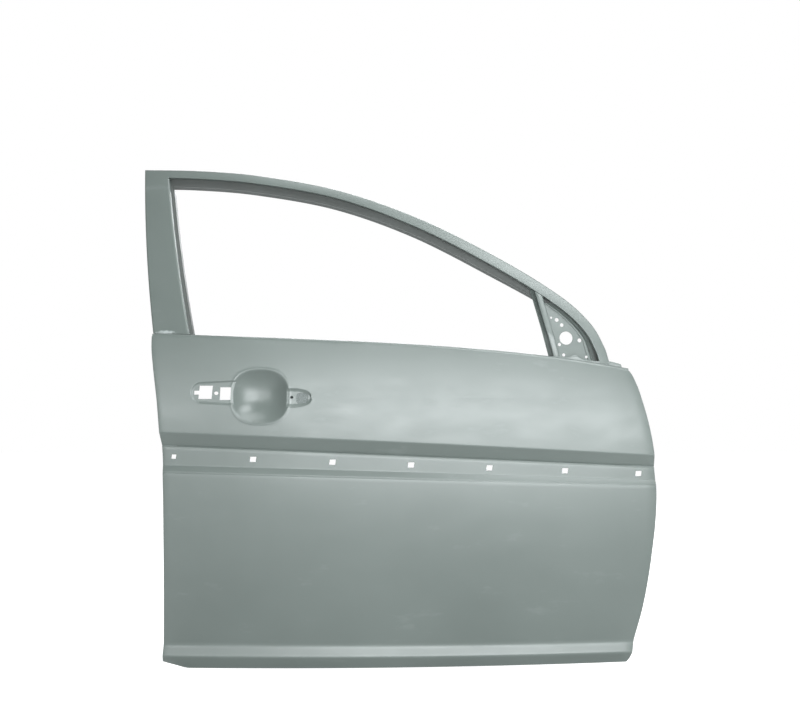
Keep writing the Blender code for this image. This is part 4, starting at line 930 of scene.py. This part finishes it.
def walk_frame(section):
    """Carries a frame section from the rear pillar's foot up to the top corner and on to the front foot.

    A section point is a share of the face width, a share of the channel width, a length and a depth.
    """
    shares = np.array(HEADER_OUTLINE_SHARES)
    knots = np.arange(len(shares), dtype=float)
    along = np.linspace(0, len(shares) - 1, HEADER_STATIONS)
    header = smooth_curve(knots, shares, along) * (FRAME_SPAN, FRAME_RISE) + (FRAME_REAR_X, FRAME_FOOT_Z)
    header_face = HEADER_WIDTH * smooth_curve(knots, HEADER_WIDTH_SHARES, along)
    header_channel = CHANNEL_WIDTH * smooth_curve(knots, CHANNEL_WIDTH_SHARES, along)
    rise = np.linspace(0, 1, PILLAR_STATIONS)[:-1]
    corner = header[0]
    lean = PILLAR_LEAN * rise + PILLAR_BOW * 4 * rise * (1 - rise)
    pillar = np.stack([PILLAR_FOOT_X - lean, BELT_HEIGHT + rise * (corner[1] - BELT_HEIGHT)], axis=1)
    path = np.concatenate([pillar, header])
    step = np.gradient(path, axis=0)
    step /= np.linalg.norm(step, axis=1, keepdims=True)
    side = np.stack([step[:, 1], -step[:, 0]], axis=1)
    face = np.concatenate([PILLAR_WIDTH - PILLAR_TAPER * rise, header_face])
    channel = np.concatenate([np.full(len(rise), PILLAR_CHANNEL), header_channel])
    turn = len(pillar)
    down = (path[turn - 1] - corner) / np.linalg.norm(path[turn - 1] - corner)
    ahead = (path[turn + 1] - corner) / np.linalg.norm(path[turn + 1] - corner)
    open_angle = abs(down[0] * ahead[1] - down[1] * ahead[0])
    side[turn - 1] = (-down[1], down[0])
    side[turn + 1] = (ahead[1], -ahead[0])
    columns = []
    for face_share, channel_share, length, depth in section:
        inset = face_share * face + channel_share * channel + length
        line = path + side * inset[:, None]
        pillar_inset = face_share * (PILLAR_WIDTH - PILLAR_TAPER) + channel_share * PILLAR_CHANNEL + length
        joint = corner + (ahead * pillar_inset + down * inset[turn]) / open_angle
        # points that the mitre overtakes are gathered onto its two straight sides
        before = (line[:turn] - joint) @ down < 0
        line[:turn][before] = joint + np.maximum((line[:turn][before] - joint) @ down, 0)[:, None] * down
        after = (line[turn + 1 :] - joint) @ ahead < 0
        line[turn + 1 :][after] = joint
        line[turn] = joint
        line = settle_feet(line)
        columns.append(np.stack([line[:, 0], frame_in(line[:, 0], line[:, 1]) + depth, line[:, 1]], axis=1))
    return np.stack(columns, axis=1)


def settle_feet(line):
    """Ends a line of the frame on the belt at both feet: points below it are gathered there."""
    floor = belt_line(line[:, 0]) + FRAME_FOOT_GAP
    half = len(line) // 2
    for part, order in ((slice(0, half), 1), (slice(half, len(line)), -1)):
        piece, level = line[part][::order], floor[part][::order]
        above = np.argmax(piece[:, 1] > level)
        first = piece[above]
        below = piece[above - 1] if above else 2 * first - piece[1]
        share = (first[1] - level[above]) / (first[1] - below[1])
        piece[: max(above, 1)] = first + (below - first) * share
        line[part] = piece[::order]
    return line


def rounded_section(corners, radius, steps=4):
    """A section with its corners rounded: each becomes a quadratic curve between its two sides."""
    corners = [np.array(c, dtype=float) for c in corners]
    made = [corners[0]]
    for before, here, after in zip(corners[:-2], corners[1:-1], corners[2:]):
        first = here + (before - here) * min(0.45, radius / section_span(before, here))
        last = here + (after - here) * min(0.45, radius / section_span(after, here))
        for share in np.linspace(0, 1, steps):
            made.append((1 - share) ** 2 * first + 2 * share * (1 - share) * here + share**2 * last)
    return [*made, corners[-1]]


def section_span(a, b):
    """Real length between two section points, taking the face and the channel at their usual widths."""
    across = (a[0] - b[0]) * HEADER_WIDTH + (a[1] - b[1]) * CHANNEL_WIDTH + a[2] - b[2]
    return max(np.hypot(across, a[3] - b[3]), 1e-6)


def build_frame():
    """The frame's two pressings, each a section with rounded corners carried along the frame."""
    face = [(0, 0, 0.0, OUTER_FLANGE), (0, 0, 0.0, 0.0), (1, 0, 0.0, 0.0), (1, 0, 0.0, CHANNEL_IN - SPOT_GAP)]
    section = rounded_section(face, 0.0022, 5)
    sheet = walk_frame(section)
    dress_grid("window_frame_face", sheet, FRAME_SHEET, PRIMER_FRAME, "electro_coat_primer", ["frame_outer"])
    inset = 2 * FRAME_SHEET + SPOT_GAP
    run = [
        (0, 0, inset, CHANNEL_IN / 2), (0, 0, inset, FRAME_DEPTH), (1, 0, -BOX_SETBACK, FRAME_DEPTH),
        (1, 0, -BOX_SETBACK, CHANNEL_IN), (1, 0.66, 0.0, CHANNEL_IN), (1, 0.72, 0.0, CHANNEL_IN - 0.0016),
        (1, 0.80, 0.0, CHANNEL_IN - 0.0010), (1, 1, 0.0, LIP_IN),
    ]
    sheet = walk_frame(rounded_section(run, 0.0024, 4))
    # the channel takes the darker copy of the primer, painted shade for its recess
    dress_grid("window_frame_channel", sheet, FRAME_SHEET, PRIMER_CHANNEL_PAINTED_SHADE, "electro_coat_primer_inside",
               ["frame_inner"])


# Mirror panel


def header_edge(x):
    """Height of the header's inner face edge at X, in front of the top of its arch."""
    edge = walk_frame([(1, 0, 0.0, 0.0)])[PILLAR_STATIONS:, 0]
    edge = edge[: np.argmax(edge[:, 0])]
    return np.interp(x, edge[:, 0], edge[:, 2])


def leg_edge(z):
    """X of the front leg's inner face edge at a height."""
    edge = walk_frame([(1, 0, 0.0, 0.0)])[PILLAR_STATIONS:, 0][::-1]
    return np.interp(z, edge[:, 2], edge[:, 0])


def bar_rear_x(z):
    """X of the bar's rear edge: from its top it goes forward in proportion to the drop."""
    return BAR_TOP_X + BAR_LEAN_SHARE * (header_edge(BAR_TOP_X) - z)


# Holes of the mirror panel: X, Z and radius; then the nuts and the holes they stand behind
MIRROR_HOLES = (
    (0.8718, 0.7878, 0.0024), (0.8844, 0.7828, 0.0043), (0.8956, 0.7711, 0.0041), (0.9045, 0.7413, 0.0150),
    (0.8889, 0.7267, 0.0036), (0.9354, 0.7362, 0.0044), (0.8981, 0.7031, 0.0034), (0.9500, 0.6985, 0.0030),
)
NUTS = (("mirror_nut_1", 2), ("mirror_nut_2", 5), ("mirror_nut_3", 6))


def mirror_sheet(low_z, high_z, rear_inset, front_inset, rows, columns):
    """X, Z and distance from the leg of a grid between the division bar and the leg's inner edge."""
    z = np.linspace(low_z, high_z, rows)
    rear = bar_rear_x(z) + BAR_WIDTH + rear_inset
    front = leg_edge(z)
    front = np.where(z < belt_line(front) + BELT_FLANGE, front[0], front) - front_inset
    width = np.minimum.accumulate(front - rear)
    share = np.linspace(0, 1, columns)
    x = rear[:, None] + share * width[:, None]
    return x, np.repeat(z[:, None], columns, axis=1), front_inset + (1 - share) * width[:, None]


def mirror_in(x, z):
    """Depth of the mirror panel's flat: a fixed step behind the frame's face."""
    return frame_in(x, z) + MIRROR_PANEL_IN


def build_mirror_panel():
    """The panel between the division bar and the leg: a trough along the leg, a raised flange, then a flat,
    with a plate and nuts behind it."""
    x, z, inset = mirror_sheet(SAIL_FOOT_Z, SAIL_TOP_Z, SPOT_GAP, 2 * SPOT_GAP, 120, 120)
    across = inset * LEG_SLOPE_SHARE
    y = mirror_in(x, z) + TROUGH_IN * ramp(-across, -TROUGH[1], -TROUGH[0], 0.0008, 0.0008)
    y = y - FLANGE_OUT * ramp(-across, -FLANGE[1], -FLANGE[0], 0.0005, 0.0005)
    blocks = [round_hole(*hole, MIRROR_DEPTHS) for hole in MIRROR_HOLES]
    sheet = np.stack([x, y, z], axis=-1)
    dress_grid("mirror_panel", sheet, FRAME_SHEET, PRIMER, "electro_coat_primer", ["sail_panel"], blocks)
    x, z, _ = mirror_sheet(0.676, 0.782, 0.010, 0.026, 30, 20)
    sheet = np.stack([x, mirror_in(x, z) + FRAME_SHEET + SPOT_GAP, z], axis=-1)
    blocks = [round_hole(cx, cz, radius + PLATE_CLEARANCE, MIRROR_DEPTHS) for cx, cz, radius in MIRROR_HOLES]
    dress_grid("mirror_plate", sheet, PLATE_SHEET, PRIMER_INSIDE, "electro_coat_primer",
               ["mirror_reinforcement"], blocks)
    for name, number in NUTS:
        cx, cz, radius = MIRROR_HOLES[number]
        build_nut(name, cx, cz, float(mirror_in(cx, cz)) + 0.0030, radius + 0.0015)


def build_nut(node, x, z, face, bore):
    """A weld nut: an annulus with a hexagon outside, carried from its face inwards and back up its bore."""
    angle = np.linspace(0, 2 * np.pi, NUT_SIDES, endpoint=False)
    hexagon = 1 / np.maximum.reduce([np.abs(np.cos(angle - turn)) for turn in np.radians((0, 60, 120))])
    outer = bore + NUT_WALL * hexagon
    collar, top = NUT_COLLAR
    section = [(bore, 0), (outer, 0), (outer, NUT_HEIGHT), (bore + collar, top), (bore, NUT_HEIGHT), (bore, 0)]
    rings = []
    for reach, depth in section:
        y = np.full(NUT_SIDES, face + depth)
        rings.append(np.stack([x + reach * np.cos(angle), y, z + reach * np.sin(angle)], axis=1))
    index = np.arange(len(rings) * NUT_SIDES).reshape(len(rings), NUT_SIDES)
    index = np.concatenate([index, index[:, :1]], axis=1)
    faces = np.stack([index[:-1, :-1], index[1:, :-1], index[1:, 1:], index[:-1, 1:]], axis=-1).reshape(-1, 4)
    obj = add_object("weld_nut_" + node[-1], new_mesh("weld_nut", np.concatenate(rings), faces))
    obj.modifiers.new("weld", "WELD").merge_threshold = MERGE
    bake_modifiers(obj)
    obj.data.set_sharp_from_angle(angle=SHARP_EDGE)
    obj.data.materials.append(PRIMER_NUT)
    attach(obj, "root")
    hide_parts(node)


def build_pad():
    """A felt pad stuck behind the front window of the handle seat."""
    middle_x, middle_z, half_x, half_z = PAD
    x, z = np.meshgrid(middle_x + np.linspace(-1, 1, 24) * half_x, middle_z + np.linspace(-1, 1, 20) * half_z)
    y = skin_in(x, z) + WING_DEPTH + FRONT_PAD_DEPTH + SKIN_SHEET + PAD_GAP
    dress_grid("handle_felt_pad", np.stack([x, y, z], axis=-1), FRAME_SHEET, FELT, None, [])


def build_division_bar():
    """A channel open to the rear: a narrow outer face, a front wall and a wider inner side for the glass."""
    columns = []
    for across, inwards in BAR_SECTION:
        top = header_edge(BAR_TOP_X + across)
        for _ in range(6):
            top = header_edge(bar_rear_x(top) + across) - 2 * SPOT_GAP
        z = np.concatenate([[BAR_FOOT_Z], np.linspace(belt_line(BAR_TOP_X) - BELT_FLANGE, top, 60)])
        x = bar_rear_x(z) + across
        y = np.maximum(frame_in(x, z) + BAR_SETBACK, BAR_LOWER_IN) + inwards
        columns.append(np.stack([x, y, z], axis=1))
    sheet = np.stack(columns, axis=1)
    dress_grid("division_bar_channel", sheet, FRAME_SHEET, PRIMER, "electro_coat_primer", ["division_bar"])


def build_front_belt_flange():
    """The flange behind the front of the belt, with a hump below the mirror and a tab at its end."""
    places, heights = np.array(FLANGE_TOP).T
    x = np.linspace(places[0], places[-1], 160)
    top = belt_line(x) + smooth_curve(places, heights, x)
    share = np.linspace(0, 1, 12)
    z = (belt_line(x) - 0.006) * (1 - share[:, None]) + top * share[:, None]
    x = np.repeat(x[None], len(share), axis=0)
    y = skin_in(x, belt_line(x) - BELT_ROLL) + BELT_FLANGE + 0.0015
    y = y + 0.0012 * np.clip(share[:, None] * 4 - 3, 0, 1) ** 2
    sheet = np.stack([x, y, z], axis=-1)
    dress_grid("front_belt_flange", sheet, FRAME_SHEET, PRIMER, "electro_coat_primer", [])


# The pieces that keep their CAD shape


def finish_cad_nodes():
    """Gives each carried-over solid its own primer."""
    for name, node in frame["nodes"].items():
        material = PRIMER_NUT if "nut" in name else PRIMER_INSIDE
        node.data.materials.clear()
        node.data.materials.append(material)


# Room, lights and camera


def stage_material(name, colour, seen):
    """Matt white paint: the camera sees it nearly white, and it throws back a plain grey light."""
    made, tree, shader, place = start_material(name)
    path = add_node(tree, "ShaderNodeLightPath").outputs["Is Camera Ray"]
    shown = add_node(tree, "ShaderNodeMath", {0: path, 1: seen}, operation="MULTIPLY")
    # roller texture about 11 mm across
    grain = add_node(tree, "ShaderNodeTexNoise", {"Vector": place, "Scale": 90.0, "Detail": 2.0})
    tone = add_node(tree, "ShaderNodeMix",
                    {"Factor": grain.outputs[0], 6: linear(colour), 7: linear("#bcbcbc")}, data_type="RGBA")
    tree.links.new(tone.outputs[2], shader.inputs["Base Color"])
    shader.inputs["Roughness"].default_value = 0.9
    shader.inputs["Emission Color"].default_value = (1.0, 1.0, 1.0, 1.0)
    tree.links.new(shown.outputs[0], shader.inputs["Emission Strength"])
    return made


def build_floor():
    """A flat floor just under the hem."""
    low = CAD_BOX[0][2] - FLOOR_GAP
    sides = ((-1, -1), (1, -1), (1, 1), (-1, 1))
    mesh = bpy.data.meshes.new("floor")
    mesh.from_pydata([(x * FLOOR_HALF, y * FLOOR_HALF, low) for x, y in sides], [], [(0, 1, 2, 3)])
    floor = add_object("floor", mesh)
    mesh.materials.append(stage_material("matt_floor_paint", "#b8b8b8", 0.95))


def add_softbox(name, place, aim, size, power):
    """A square area lamp at a design point, turned towards another."""
    lamp = bpy.data.lights.new(name, "AREA")
    lamp.shape = "RECTANGLE"
    lamp.size, lamp.size_y = size
    lamp.energy = power
    lamp.color = LAMP_COLOUR
    from_aim = np.array(place) - aim
    from_aim /= np.linalg.norm(from_aim)
    side = np.cross((0.0, 0.0, 1.0), from_aim)
    side /= np.linalg.norm(side)
    up = np.cross(from_aim, side)
    turned = np.eye(4)
    turned[:3] = np.stack([side, up, from_aim, place - DATUM], axis=1)
    add_object(name, lamp).matrix_world = turned.T.tolist()


def build_light():
    """A white room that lights faintly and shows white to the camera, and the lamps."""
    world = bpy.data.worlds.new("studio")
    bpy.context.scene.world = world
    world.use_nodes = True
    tree = world.node_tree
    path = add_node(tree, "ShaderNodeLightPath").outputs["Is Camera Ray"]
    level = add_node(tree, "ShaderNodeMapRange", {"Value": path, "To Min": ROOM_LIGHT, "To Max": 1.0})
    tree.links.new(level.outputs[0], tree.nodes["Background"].inputs["Strength"])
    tree.nodes["Background"].inputs["Color"].default_value = (1.0, 1.0, 1.0, 1.0)
    for softbox in SOFTBOXES:
        add_softbox(*softbox)


def build_camera():
    """A level camera, square to the door."""
    lens = bpy.data.cameras.new("camera")
    lens.lens = CAMERA_LENS
    lens.sensor_width = SENSOR_WIDTH
    lens.sensor_fit = "HORIZONTAL"
    camera = add_object("camera", lens)
    camera.location = tuple(np.array(CAMERA_PLACE) - DATUM)
    camera.rotation_euler = (np.pi / 2, 0.0, 0.0)
    bpy.context.scene.camera = camera


finish_cad_nodes()
build_skin()
build_inner_panel()
build_frame()
build_mirror_panel()
build_division_bar()
build_front_belt_flange()
build_pad()
build_floor()
build_light()
build_camera()
bpy.context.scene.view_settings.view_transform = "Standard"
